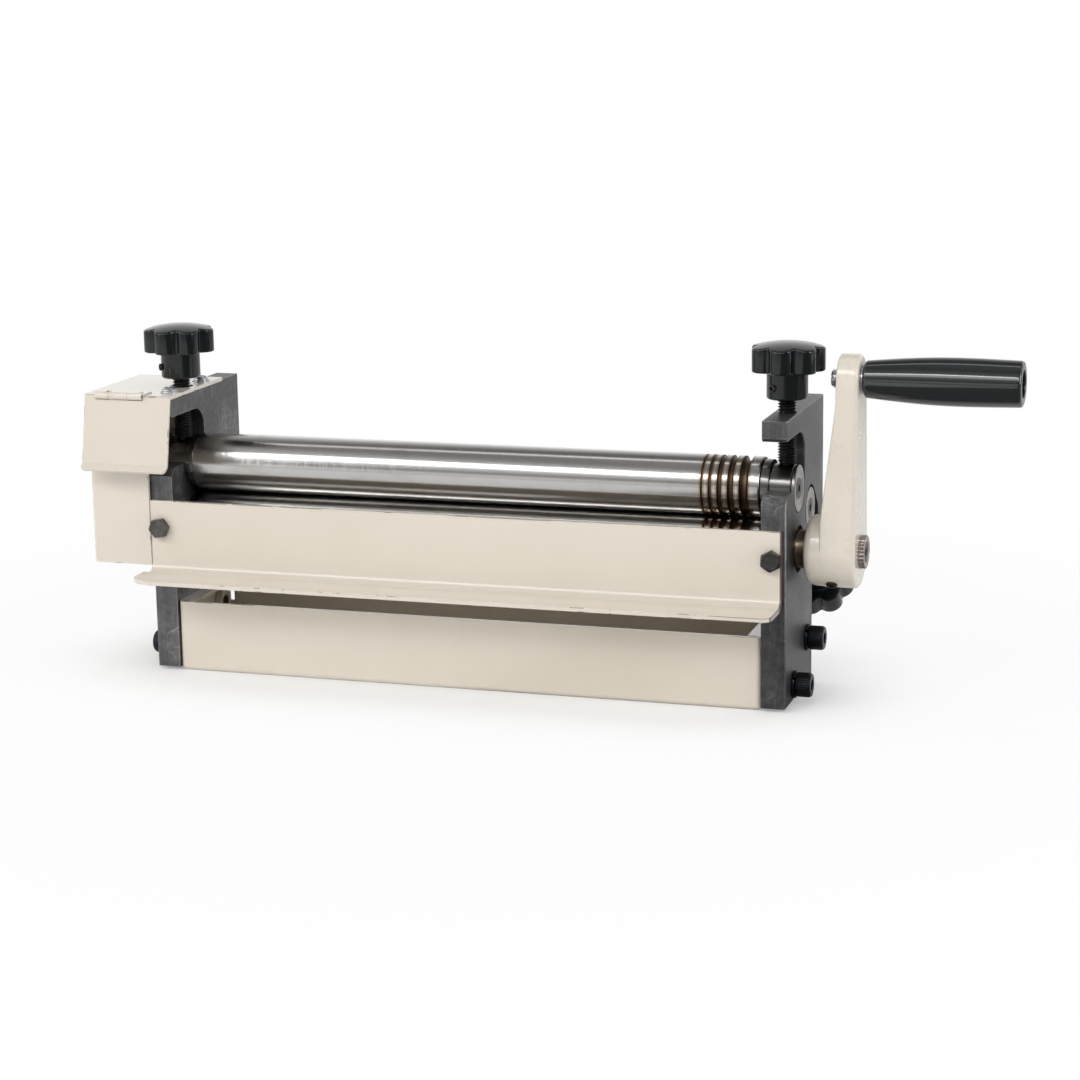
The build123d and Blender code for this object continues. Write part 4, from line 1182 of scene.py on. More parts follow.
@dataclass
class Roll:
    """A ground roll with its journals and, on the driving pair, wire grooves."""

    node: str
    body: str
    seat: tuple[float, float]
    left_end: float
    right_steps: Sequence[tuple[float, float]]
    grooved: bool = True
    radius: float = 16.0 * MM
    half_length: float = 161.0 * MM
    journal_r: float = 8.0 * MM
    groove_radii: Sequence[float] = (0.5 * MM, 0.8 * MM, 1.2 * MM, 1.6 * MM, 2.4 * MM)
    land: float = 3.1 * MM
    end_land: float = 5.8 * MM
    lips: Sequence[float] = (0.3 * MM, 0.8 * MM, 1.4 * MM)  # rings beside a groove, for its rust
    rust_reach: float = 1.8 * MM  # how far rust spreads beside a groove
    end_rust: float = 0.55
    shaft_rust: float = 0.45

    def grooves(self) -> Array:
        """Each groove's middle and radius, as (n, 2), from the finest out to the end."""
        radii = np.array(self.groove_radii)
        tail = np.concatenate([np.cumsum((2 * radii + self.land)[::-1])[::-1][1:], [0]])
        return np.stack([self.half_length - self.end_land - tail - radii, radii], axis=1)

    def rings(self) -> list[Ring]:
        """The profile from the left end to the right.

        A groove is the half circle (x + g cos t, r - g sin t).

        Returns:
            The profile's rings.
        """
        marks = [
            Ring(self.left_end, 0.0),
            Ring(self.left_end, self.journal_r, 0.6 * MM),
            Ring(-self.half_length, self.journal_r),
            Ring(-self.half_length, self.radius, 0.8 * MM),
        ]
        if self.grooved:
            turn = np.linspace(math.pi, 0, 11)
            for middle, g in self.grooves():
                spots = zip(middle + g * np.cos(turn), self.radius - g * np.sin(turn))
                marks += [
                    *(Ring(middle - g - away, self.radius) for away in reversed(self.lips)),
                    *(Ring(x, r) for x, r in spots),
                    *(Ring(middle + g + away, self.radius) for away in self.lips),
                ]
        marks += [Ring(self.half_length, self.radius, 0.8 * MM)]
        start = self.half_length
        for end, r in self.right_steps:
            marks += [Ring(start, r), Ring(end, r, 0.5 * MM)]
            start = end
        return [*marks, Ring(start, 0.0)]

    def build(self) -> None:
        """Makes the roll and marks its grooves, where rust sits."""
        axis_y, axis_z = self.seat
        axis = Axis((0.0, axis_y, axis_z), (1.0, 0.0, 0.0))
        piece = Turning(self.rings(), segments=128).surface(axis).piece(f"{self.node}_turned", 25)
        points = np.empty(len(piece.data.vertices) * 3, np.float32)
        piece.data.vertices.foreach_get("co", points)
        x, y, z = points.reshape(-1, 3).T
        off = np.hypot(y - axis_y, z - axis_z)
        rusted = np.zeros(len(x))
        if self.grooved:
            spots = self.grooves()
            away = np.abs(x[:, None] - spots[:, 0]) - spots[:, 1]
            near = np.clip(1 - away / self.rust_reach, 0, 1).max(axis=1)
            rusted = np.where(off > self.radius - 3 * MM, near, 0)
        ends = (np.abs(x) > self.half_length - 0.2 * MM) & (off < self.radius - 0.3 * MM)
        bare = (x > self.half_length + 4 * MM) & (off > self.journal_r + 1 * MM)
        mark = piece.data.attributes.new("rust", "FLOAT", "POINT")
        shares = rusted + ends * self.end_rust + bare * self.shaft_rust
        mark.data.foreach_set("value", shares.astype(np.float32))
        settle(piece, ROLL, self.body, self.node)


@dataclass
class RollEnds:
    """The flush washers and countersunk socket screws on the ends of the top and rear rolls."""

    thickness: float = 1.6 * MM
    head_r: float = 5.75 * MM
    shank_r: float = 3.0 * MM
    length: float = 14.0 * MM
    socket: float = 4.0 * MM
    socket_depth: float = 2.4 * MM

    def washer(self, radius: float, axis: Axis) -> Surface:
        """A washer with a turned step in its face and a countersunk middle.

        Args:
            radius: Its outer radius.
            axis: Its axis, from its face.

        Returns:
            The closed surface.
        """
        t = self.thickness
        rings = [
            Ring(-t, self.head_r - t, 0.1 * MM),
            Ring(-t, radius, 0.2 * MM),
            Ring(0.0, radius, 0.35 * MM),
            Ring(0.0, radius - 2.6 * MM, 0.1 * MM),
            Ring(-0.22 * MM, radius - 3.0 * MM, 0.1 * MM),
            Ring(-0.22 * MM, self.head_r + 0.9 * MM, 0.1 * MM),
            Ring(-0.02 * MM, self.head_r + 0.5 * MM, 0.1 * MM),
            Ring(-0.02 * MM, self.head_r + 0.02 * MM, 0.05 * MM),
        ]
        return Turning(rings, sleeve=True).surface(axis)

    def screw(self, axis: Axis) -> Surface:
        """A countersunk screw with its hexagonal socket.

        Args:
            axis: Its axis, from its washer's face.

        Returns:
            The closed surface.
        """
        fall = self.head_r - self.shank_r
        rings = [
            Ring(-self.length, 0.0),
            Ring(-self.length, self.shank_r - 0.05 * MM),
            Ring(-fall, self.shank_r - 0.05 * MM),
            Ring(-0.25 * MM, self.head_r - 0.25 * MM),
            Ring(-0.1 * MM, self.head_r - 0.2 * MM, 0.1 * MM),
            *socket_rings(-0.1 * MM, self.socket, self.socket_depth),
        ]
        return Turning(rings).surface(axis)

    def build(self) -> None:
        """Makes both levels' washers and screws."""
        levels = (
            ("top", "top_roller", 12.4 * MM, TOP_AXIS, (1.0,)),
            ("rear", "rear_roller", 11.2 * MM, REAR_AXIS, (-1.0, 1.0)),
        )
        for level, body, radius, seat, sides in levels:
            axes = [Axis((out * PLATE_FACE, *seat), (out, 0.0, 0.0)) for out in sides]
            washers = Surface.group([self.washer(radius, axis) for axis in axes])
            settle(washers.piece(f"{level}_roll_washer"), WASHER, body, f"{level}_end_washer")
            screws = Surface.group([self.screw(axis) for axis in axes])
            settle(screws.piece(f"{level}_roll_screw"), DARK_SCREW, body, f"{level}_end_screw")


@dataclass
class Adjuster:
    """An adjusting screw with its star knob and the knob's set screw."""

    prefix: str
    seat: Point
    run: Point
    hub_start: float
    set_turn: float
    lobe_turn: float
    screw_start: float = 13.0 * MM
    screw_d: float = 10.0 * MM
    pitch: float = 1.5 * MM
    tip_d: float = 6.0 * MM
    tip_length: float = 2.6 * MM
    bore_depth: float = 22.0 * MM
    hub_r: float = 10.8 * MM
    hub_length: float = 14.6 * MM
    rim_t: float = 12.3 * MM
    rim_r: float = 19.7 * MM
    crown: float = 3.0 * MM
    rim_edge: float = 0.9 * MM

    def axis(self, start: float, facing: Point = (1.0, 0.0, 0.0)) -> Axis:
        """The screw's axis, from a distance out from the bush's own."""
        return Axis(self.seat, self.run, facing).moved(start)

    def knob(self) -> Surface:
        """The knob: a round hub, and a lobed rim under one dome that the lobes cut.

        The rim's radius R at each angle is the star's. The dome's height at a radius r is
        h + sqrt(D^2 - r^2) - (D - c), with the sphere's radius D and the crown c, so the rim's
        upper edge rises into the valleys. Both edges of the rim are quarter circles.

        Returns:
            The closed surface.
        """
        angle = np.linspace(0, 2 * math.pi, 280, endpoint=False)
        rim = self.rim_r * Outline.star(angle)
        sphere = (self.rim_r**2 + self.crown**2) / (2 * self.crown)

        def dome(radius: Array) -> Array:
            """The dome's height at a radius."""
            base = self.hub_length + self.rim_t + self.crown - sphere
            return base + np.sqrt(sphere**2 - radius**2)

        bore = self.screw_d / 2 + 0.03 * MM
        corners = [
            (self.bore_depth, 0.0), (self.bore_depth, bore), (0.0, bore), (0.0, self.hub_r),
            (self.hub_length, self.hub_r), (self.hub_length, self.hub_r + 2.4 * MM),
        ]
        hub, _ = rounded(np.array(corners), np.array([0, 0, 0.5, 1.2, 0.8, 0]) * MM)
        bend = np.linspace(0, math.pi / 2, 7)[:, None]
        edge = self.rim_edge
        share = np.linspace(1, 0, 14)[1:, None] ** 0.8
        under = rim - edge * (1 - np.sin(bend))
        over = rim - edge * (1 - np.cos(bend))
        top = share * (rim - edge)
        radius = np.concatenate([hub[:, 1:] + 0 * rim, under, over, top])
        along = np.concatenate(
            [
                hub[:, :1] + 0 * rim,
                self.hub_length + edge * (1 - np.cos(bend)) + 0 * rim,
                dome(over) - edge * (1 - np.sin(bend)),
                dome(top),
            ]
        )
        turn = math.radians(self.lobe_turn)
        axis = self.axis(self.hub_start, (math.cos(turn), math.sin(turn), 0.0))
        points = axis.place(radius * np.cos(angle), radius * np.sin(angle), along)
        return Surface.grid(points)

    def set_screw(self) -> Surface:
        """The set screw that stands a little out of the hub.

        Returns:
            The closed surface.
        """
        w = unit(np.array(self.run))
        u = np.array((1.0, 0.0, 0.0))
        v = np.cross(w, u)
        turn = math.radians(self.set_turn)
        facing = -u * math.sin(turn) - v * math.cos(turn)
        base = np.array(self.axis(self.hub_start + 6.2 * MM).origin) + facing * 5.0 * MM
        rings = [
            *rings_mm((0.0, 0.0), (0.0, 1.95), (7.2, 1.95, 0.4)),
            *socket_rings(7.2 * MM, 2.0 * MM, 1.6 * MM),
        ]
        return Turning(rings, 48).surface(Axis(tuple(base), tuple(facing), tuple(w)))

    def build(self) -> None:
        """Makes the screw, the knob and the set screw."""
        body = f"{self.prefix}_adjuster"
        length = self.hub_start + self.bore_depth - self.screw_start
        thread = Thread(self.screw_d, self.pitch, length, self.tip_d, self.tip_length)
        rod = thread.surface(self.axis(self.screw_start)).piece(f"{self.prefix}_thread", 50)
        settle(rod, THREAD, body, f"{self.prefix}_screw")
        star = self.knob().piece(f"{self.prefix}_star", 40)
        settle(star, KNOB, body, f"{self.prefix}_knob")
        grub = self.set_screw().piece(f"{self.prefix}_grub")
        settle(grub, DARK_SCREW, body, f"{self.prefix}_set_screw")


@dataclass
class Crank:
    """The cast crank arm, its retaining washer and screw, its set screw and its handle."""

    boss_x: float = 184.5 * MM
    root_x: float = 193.5 * MM
    eye_x: float = 200.5 * MM
    outer_x: float = 212.0 * MM
    axis_z: float = LOWER_AXIS[1]
    reach: float = 91.0 * MM
    boss_r: float = 18.0 * MM
    hub_r: float = 19.2 * MM
    eye_r: float = 13.0 * MM
    boss_round: float = 4.6 * MM
    outer_round: float = 2.2 * MM
    inner_round: float = 1.3 * MM
    slope_start: float = 99.2 * MM  # the heights between which the inner face slopes
    slope_rise: float = 60.0 * MM
    set_screw_x: float = 199.0 * MM
    set_screw_out: float = 8.0 * MM  # its start, out from the shaft's axis
    set_screw_lean: float = 35.0
    grip_x: float = 213.5 * MM
    grip_length: float = 81.0 * MM
    grip_bore_r: float = 4.55 * MM
    pocket_r: float = 7.3 * MM
    pocket_depth: float = 8.0 * MM

    def arm(self) -> Surface:
        """The arm: the hull of two circles, carried from its inner face to its outer one.

        A point of the hull is at C + (r - d) n, where n is the outline's outward direction, d
        the inset, and C and r run from the hub's circle to the eye's along the two straight
        sides. The inset follows a quarter circle over each edge, then shrinks the outline to
        the line between the centres. The inner face slopes outwards between two heights.

        Returns:
            The closed surface.
        """
        tangent = math.acos((self.hub_r - self.eye_r) / self.reach)
        over = np.linspace(-tangent, tangent, 45)
        under = np.linspace(tangent, 2 * math.pi - tangent, 61)
        side = np.linspace(1, 0, 14)[1:-1]
        phi = np.concatenate([over, np.full(12, tangent), under, np.full(12, -tangent)])
        share = np.concatenate([np.ones(45), side, np.zeros(61), side[::-1]])
        n_y, n_z = np.sin(phi)[None], np.cos(phi)[None]
        c_z = self.axis_z + share[None] * self.reach
        r = self.hub_r + share[None] * (self.eye_r - self.hub_r)
        bend = np.linspace(0, math.pi / 2, 6)[:, None]
        inner_inset = self.inner_round * (1 - np.sin(bend))
        outer_inset = self.outer_round * (1 - np.cos(bend))
        inner_shift = self.inner_round * (1 - np.cos(bend))
        outer_shift = self.outer_round * (1 - np.sin(bend))
        fill = np.array([0.0, 0.4, 0.75])[:, None]
        keep_in = np.concatenate([fill * (r - self.inner_round), r - inner_inset])
        keep_out = np.concatenate([r - outer_inset, fill[::-1] * (r - self.outer_round)])
        y = np.concatenate([keep_in, keep_out]) * n_y
        z = c_z + np.concatenate([keep_in, keep_out]) * n_z
        slope = np.clip((z - self.slope_start) / self.slope_rise, 0, 1)
        inner_x = self.root_x + (self.eye_x - self.root_x) * slope
        shift = np.concatenate([0 * fill, inner_shift]) + 0 * keep_in
        x = np.concatenate(
            [
                inner_x[: len(keep_in)] + shift,
                self.outer_x - np.concatenate([outer_shift, 0 * fill]) + 0 * keep_out,
            ]
        )
        return Surface.grid(np.stack([x, y, z], axis=-1))

    def boss(self) -> Surface:
        """The round boss that carries the hub towards the plate.

        Returns:
            The closed surface.
        """
        rings = [
            Ring(self.boss_x, 0.0),
            Ring(self.boss_x, self.boss_r + 0.4 * MM, self.boss_round),
            Ring(self.root_x + 1.5 * MM, self.hub_r - 0.04 * MM),
            Ring(self.root_x + 2.5 * MM, self.hub_r - 1.5 * MM),
            Ring(self.root_x + 2.5 * MM, 0.0),
        ]
        return Turning(rings, steps=9).surface(Axis((0.0, 0.0, self.axis_z), (1.0, 0.0, 0.0)))

    def grip(self) -> Surface:
        """The grip, from its narrow inner end over its belly to its free end.

        The radius is a cubic r0 A + r1 B + h (m0 C + m1 D) on either side of the belly, where
        A, B, C and D are Hermite's polynomials, m the slopes at both ends and h the length.

        Returns:
            The closed surface.
        """
        length = self.grip_length
        floor = length - self.pocket_depth
        knots = ((0.0, 9.6 * MM, 0.096), (0.45, 12.3 * MM, 0.0343), (1.0, 11.9 * MM, -0.025))
        share = np.linspace(0, 1, 28)
        radius = np.zeros_like(share)
        for (s0, r0, m0), (s1, r1, m1) in zip(knots, knots[1:]):
            t = (share - s0) / (s1 - s0)
            rise = (s1 - s0) * length * (m0 * t * (1 - t) ** 2 - m1 * t**2 * (1 - t))
            cubic = r0 + (r1 - r0) * t**2 * (3 - 2 * t) + rise
            radius = np.where((t >= 0) & (t <= 1), cubic, radius)
        wall = [
            Ring(s * length, r, 1.7 * MM if s in (0.0, 1.0) else 0.0)
            for s, r in zip(share, radius)
        ]
        rings = [
            Ring(0.0, self.grip_bore_r, 0.3 * MM),
            *wall,
            Ring(length, self.pocket_r, 0.7 * MM),
            Ring(floor, self.pocket_r, 0.5 * MM),
            Ring(floor, self.grip_bore_r),
        ]
        eye = Axis((self.grip_x, 0.0, self.axis_z + self.reach), (1.0, 0.0, 0.0))
        return Turning(rings, segments=112, sleeve=True, steps=7).surface(eye)

    def build(self) -> None:
        """Makes the crank's casting, its fasteners and the handle."""
        arm = Surface.group([self.arm(), self.boss()]).piece("crank_casting", 38)
        weld = arm.modifiers.new("Merge", "WELD")
        weld.merge_threshold = 0.001 * MM
        settle(arm, CAST_PAINT, "drive", "crank_arm")
        self.retainer()
        self.set_screw()
        self.handle()

    def retainer(self) -> None:
        """Makes the toothed washer on the shaft's end, and its screw."""
        hub = Axis((self.outer_x, 0.0, self.axis_z), (1.0, 0.0, 0.0))
        washer = rings_mm(
            (0.0, 0.0),
            (0.0, 8.8, 0.2, Outline.TOOTHED),
            (3.2, 8.8, 0.45, Outline.TOOTHED),
            (3.2, 7.5, 0.1),
            (2.95, 7.2, 0.1),
            (2.95, 5.4, 0.2),
            (1.4, 5.35),
            (1.4, 0.0),
        )
        disc = Turning(washer, segments=192).surface(hub).piece("crank_retainer", 40)
        settle(disc, RETAINER, "drive", "crank_washer")
        screw = [
            *rings_mm((1.4, 0.0), (1.4, 5.2), (2.8, 5.2, 0.4)),
            *socket_rings(2.8 * MM, 4.0 * MM, 1.0 * MM),
        ]
        head = Turning(screw).surface(hub).piece("crank_retainer_screw")
        settle(head, DARK_SCREW, "drive", "crank_screw")

    def set_screw(self) -> None:
        """Makes the set screw in the hub's underside."""
        lean = math.radians(self.set_screw_lean)
        down = (0.0, -math.sin(lean), -math.cos(lean))
        out = self.set_screw_out
        start = (self.set_screw_x, out * down[1], self.axis_z + out * down[2])
        grub = [
            *rings_mm((0.0, 0.0), (0.0, 3.0), (12.3, 3.0, 0.5)),
            *socket_rings(12.3 * MM, 3.0 * MM, 2.5 * MM),
        ]
        made = Turning(grub, 60).surface(Axis(start, down, (1.0, 0.0, 0.0)))
        settle(made.piece("crank_grub"), OLD_BRASS, "drive", "crank_set_screw")

    def handle(self) -> None:
        """Makes the spindle, its collar and the grip."""
        eye = Axis((self.outer_x, 0.0, self.axis_z + self.reach), (1.0, 0.0, 0.0))
        head = [
            *rings_mm((-2.0, 0.0), (-2.0, 4.5), (74.8, 4.5), (74.8, 6.5, 0.2), (79.8, 6.5, 0.5)),
            *socket_rings(79.8 * MM, 6.0 * MM, 3.0 * MM),
        ]
        stub_length = 15.7 * MM
        stub = Thread(10.0 * MM, 1.5 * MM, stub_length).surface(eye.moved(-stub_length))
        spindle = Surface.group([Turning(head).surface(eye), stub])
        settle(spindle.piece("grip_spindle"), ZINC, "drive", "handle_spindle")
        collar = flat_washer(4.6 * MM, 7.5 * MM, 1.2 * MM, 0.3 * MM, 0.3 * MM)
        settle(collar.surface(eye).piece("grip_collar"), ZINC, "drive", "spindle_collar")
        settle(self.grip().piece("turned_grip", 30), GRIP, "grip", "handle_grip")


def flat_washer(
    bore_r: float, radius: float, thickness: float, seat_edge: float, top_edge: float
) -> Turning:
    """A flat washer, whose bore is finely broken.

    Args:
        bore_r: The bore's radius.
        radius: The outer radius.
        thickness: The thickness.
        seat_edge: The rounding of the outer edge at the seat.
        top_edge: The rounding of the outer edge at the top.

    Returns:
        The washer, ready to be turned about an axis.
    """
    bore_edge = 0.1 * MM
    rings = [
        Ring(0.0, bore_r, bore_edge),
        Ring(0.0, radius, seat_edge),
        Ring(thickness, radius, top_edge),
        Ring(thickness, bore_r, bore_edge),
    ]
    return Turning(rings, sleeve=True)


def cap_head(radius: float, height: float, across: float, depth: float) -> Turning:
    """The head of a socket cap screw, knurled round its wall and chamfered above it.

    Args:
        radius: The head's radius.
        height: The head's height.
        across: The socket's width across its flats.
        depth: The socket's depth.

    Returns:
        The head, ready to be turned about an axis.
    """
    knurl = Outline.KNURL
    rings = [
        Ring(0.0, 0.0),
        Ring(0.0, radius - 0.4 * MM, 0.1 * MM),
        Ring(0.4 * MM, radius, 0.1 * MM, knurl),
        Ring(height * 0.86, radius, 0.2 * MM, knurl),
        Ring(height, radius * 0.9, 0.35 * MM),
        *socket_rings(height, across, depth),
    ]
    return Turning(rings, segments=216)


@dataclass
class Gears:
    """The spur gears with their keys, washers and screws."""

    end_x: float = -193.8 * MM
    washer_t: float = 2.0 * MM

    def build(self) -> None:
        """Dresses the gears and makes their fasteners."""
        places = (("lower", "drive", LOWER_AXIS), ("top", "top_roller", TOP_AXIS))
        for level, body, (y, z) in places:
            solid_copy(f"{level}_gear", GEAR, body, 0.25 * MM)
            solid_copy(f"{level}_gear_key", GEAR, body, 0.15 * MM)
            axis = Axis((self.end_x, y, z), (-1.0, 0.0, 0.0))
            disc = flat_washer(3.05 * MM, 11.0 * MM, self.washer_t, 0.3 * MM, 0.4 * MM)
            disc = disc.surface(axis).piece(f"{level}_gear_disc")
            settle(disc, ZINC, body, f"{level}_gear_washer")
            seat = axis.moved(self.washer_t)
            head = cap_head(5.0 * MM, 6.0 * MM, 5.0 * MM, 3.0 * MM).surface(seat)
            shank = rings_mm((-16.0, 0.0), (-16.0, 2.95), (-0.01, 2.95), (-0.01, 0.0))
            screw = Surface.group([head, Turning(shank, 48).surface(seat)])
            settle(screw.piece(f"{level}_gear_cap_screw"), BLACK_SCREW, body, f"{level}_gear_screw")


@dataclass
class Tray:
    """The folded tray between the plates' feet, with its bolts, spring washers and nuts."""

    spots: Sequence[tuple[float, float]] = ((-12.1 * MM, 10.69 * MM), (19.7 * MM, 28.19 * MM))
    washer_t: float = 2.0 * MM
    bolt_d: float = 8.0 * MM
    bolt_pitch: float = 1.25 * MM
    bolt_length: float = 21.2 * MM
    nut_seat: float = 15.2 * MM  # the tray's inner side, in from the plates' outer faces

    def spring_washer(self, axis: Axis) -> Surface:
        """A split spring washer.

        Its four-cornered section is swept through a turn less the cut. The section's corners
        are broken, its far end stands a little higher, and each end is closed.

        Args:
            axis: The washer's axis, from its seat.

        Returns:
            The closed surface.
        """
        corners = np.array([(4.15, 0.05), (7.25, 0.05), (7.25, 1.75), (4.15, 1.75)]) * MM
        section, _ = rounded(corners, np.full(4, 0.3 * MM), 3, closed=True)
        turn = np.linspace(0.10, 2 * math.pi - 0.10, 72)
        turn = np.concatenate([turn[:1], turn, turn[-1:]])[:, None]
        keep = np.ones_like(turn)
        keep[[0, -1]] = 0
        middle = section.mean(axis=0)
        radius = middle[0] + keep * (section[:, 0] - middle[0])
        along = middle[1] + keep * (section[:, 1] - middle[1]) + 0.2 * MM * turn / (2 * math.pi)
        points = axis.place(radius * np.cos(turn + 0.9), radius * np.sin(turn + 0.9), along)
        return Surface.grid(points)

    def nut(self, axis: Axis) -> Surface:
        """A hexagonal nut with both faces chamfered.

        Args:
            axis: The nut's axis, from its seat.

        Returns:
            The closed surface.
        """
        rings = rings_mm(
            (0.0, 0.0),
            (0.0, 6.3),
            (0.35, 6.5, 0.0, Outline.HEXAGON),
            (4.0, 6.5, 0.0, Outline.HEXAGON),
            (4.0, 4.4),
            (3.6, 3.9),
            (3.6, 0.0),
        )
        return Turning(rings, crown=6.3 * MM).surface(axis)

    def build(self) -> None:
        """Makes the tray and its fasteners. Each bolt is turned by an amount of its own."""
        solid_copy("base_tray", TRAY_PAINT, "frame", 0.35 * MM)
        bolts, washers, nuts = [], [], []
        places = [(out, spot) for out in (-1.0, 1.0) for spot in self.spots]
        for number, (out, spot) in enumerate(places):
            axis = Axis((out * PLATE_FACE, *spot), (out, 0.0, 0.0))
            seat = axis.moved(self.washer_t)
            turned = Axis(seat.origin, seat.along, (0.0, math.sin(number), math.cos(number)))
            bolts.append(cap_head(6.5 * MM, 8.0 * MM, 6.0 * MM, 4.0 * MM).surface(turned))
            shank = Thread(self.bolt_d, self.bolt_pitch, self.bolt_length - 0.01 * MM)
            bolts.append(shank.surface(seat.moved(-self.bolt_length)))
            washers.append(self.spring_washer(axis))
            nuts.append(self.nut(Axis(axis.moved(-self.nut_seat).origin, (-out, 0.0, 0.0))))
        heads = Surface.group(bolts).piece("tray_cap_screws", 38)
        settle(heads, BLACK_SCREW, "frame", "tray_bolts")
        split = Surface.group(washers).piece("tray_split_washers")
        settle(split, BLACK_SCREW, "frame", "tray_spring_washers")
        settle(Surface.group(nuts).piece("tray_hex_nuts"), TRAY_PAINT, "frame", "tray_nuts")


@dataclass
class FrontGuard:
    """The bent guard across the front, with its tongue, and its two hexagon bolts."""

    left_x: float = -178.9 * MM
    right_x: float = 177.3 * MM
    tongue: float = 3.4 * MM
    face_y: float = -33.8 * MM
    thickness: float = 2.2 * MM
    top_z: float = 96.8 * MM
    flange_z: float = 55.1 * MM
    edge_y: float = -59.9 * MM
    bend_end_y: float = -38.8 * MM
    tongue_r: float = 12.0 * MM
    corner_r: float = 5.0 * MM
    bolt_z: float = 81.8 * MM
    bolts: Sequence[tuple[float, float]] = ((-173.1 * MM, 8.0), (172.1 * MM, 28.0))

    def sheet(self) -> bpy.types.Object:
        """The bent sheet. Its two front corners are quarter circles of different radii.

        Returns:
            The object.
        """
        half = self.thickness / 2
        bent = BentSheet(
            [
                (self.face_y + half, self.top_z),
                (self.face_y + half, self.flange_z + half),
                (self.edge_y, self.flange_z + half),
            ],
            bend=5.0 * MM,
            thickness=self.thickness,
        )
        total = bent.middle()[1][-1]
        step = total - (self.bend_end_y - self.edge_y)
        turn = np.sin(np.linspace(0, math.pi / 2, 16))
        stations = np.concatenate(
            [
                [step, step + 0.02 * MM],
                np.linspace(0, step, 9),
                total - self.tongue_r * (1 - turn),
                total - self.corner_r * (1 - turn),
            ]
        )

        def low(s: Array) -> Array:
            """The gear side's end: the panel's, then the tongue's."""
            pull = corner_run(s, step, total, self.tongue_r)
            return self.left_x + np.where(s > step, pull - self.tongue, 0.0)

        def high(s: Array) -> Array:
            """The crank side's end."""
            return self.right_x - corner_run(s, step, total, self.corner_r)

        return bent.piece("bent_guard", stations, low, high, columns=40)

    def bolt(self, x: float, turn: float) -> Surface:
        """A hexagon bolt head with its washer face and its chamfered top.

        Args:
            x: The bolt's place along the guard.
            turn: How far its hexagon is turned, in degrees.

        Returns:
            The closed surface.
        """
        lean = math.radians(turn)
        facing = (-math.sin(lean), 0.0, math.cos(lean))
        rings = rings_mm(
            (-1.0, 0.0),
            (-1.0, 2.9),
            (0.02, 2.9),
            (0.02, 4.7),
            (0.4, 4.75),
            (0.45, 5.0, 0.0, Outline.HEXAGON),
            (4.0, 5.0, 0.0, Outline.HEXAGON),
            (4.0, 4.0, 0.1),
            (3.85, 3.4, 0.1),
            (3.85, 0.0),
        )
        axis = Axis((x, self.face_y, self.bolt_z), (0.0, -1.0, 0.0), facing)
        return Turning(rings, crown=4.9 * MM, segments=120).surface(axis)

    def build(self) -> None:
        """Makes the guard and its bolts."""
        settle(self.sheet(), GUARD_PAINT, "frame", "front_guard")
        heads = Surface.group([self.bolt(x, turn) for x, turn in self.bolts])
        settle(heads.piece("guard_hex_bolts", 28), HEX_BOLT, "frame", "guard_bolts")


@dataclass
class GearHousing:
    """The folded housing over the gears, with its door, its hinge and its two screws."""

    screw_x: float = -169.7 * MM
    screw_ys: Sequence[float] = (-21.8 * MM, 19.2 * MM)
    top_z: float = 155.6 * MM
    washer_t: float = 0.8 * MM
    turn_per_metre: float = 900.0  # sets each screw's cross at a turn of its own

    def seat(self, y: float) -> Axis:
        """A screw's axis, from the housing's top."""
        turn = y * self.turn_per_metre
        facing = (math.cos(turn), math.sin(turn), 0.0)
        return Axis((self.screw_x, y, self.top_z), (0.0, 0.0, 1.0), facing)

    def pan_head(self, axis: Axis) -> Surface:
        """A pan-head screw with a crossed recess.

        Args:
            axis: The screw's axis, from its washer.

        Returns:
            The closed surface.
        """
        rings = rings_mm(
            (-1.0, 0.0),
            (-1.0, 1.9),
            (0.0, 1.9),
            (0.0, 4.2, 0.15),
            (0.8, 4.2, 0.4),
            (2.12, 2.9, 0.9),
            (2.18, 2.35, 0.0, Outline.CROSS),
            (1.1, 1.8, 0.0, Outline.CROSS),
            (0.7, 0.0),
        )
        return Turning(rings, segments=128).surface(axis)

    def build(self) -> None:
        """Dresses the housing, the door and the hinge, and makes the screws and washers."""
        solid_copy("gear_housing", SHEET_PAINT, "frame", 0.4 * MM)
        solid_copy("gear_door", SHEET_PAINT, "door", 0.3 * MM)
        solid_copy("hinge_leaf", SHEET_PAINT, "frame", 0.15 * MM)
        solid_copy("hinge_pin", PIN, "frame", 0.1 * MM)
        seats = [self.seat(y) for y in self.screw_ys]
        flat = flat_washer(2.1 * MM, 5.0 * MM, self.washer_t, 0.15 * MM, 0.25 * MM)
        washers = Surface.group([flat.surface(seat) for seat in seats])
        settle(washers.piece("housing_flat_washers"), ZINC, "frame", "housing_washers")
        heads = Surface.group([self.pan_head(seat.moved(self.washer_t)) for seat in seats])
        settle(heads.piece("housing_pan_screws"), ZINC, "frame", "housing_screws")


def stand(made: bpy.types.Object, spot: Point, right: Array, above: Array, back: Array) -> None:
    """Stands a camera or a lamp at a spot and links it to the scene.

    Args:
        made: The object.
        spot: Where it stands.
        right: The direction of its X axis.
        above: The direction of its Y axis.
        back: The direction of its Z axis, away from what it faces.
    """
    turn = np.eye(4)
    turn[:3] = np.stack([right, above, back, np.array(spot)], axis=1)
    made.matrix_world = Matrix(turn.tolist())
    bpy.context.scene.collection.objects.link(made)


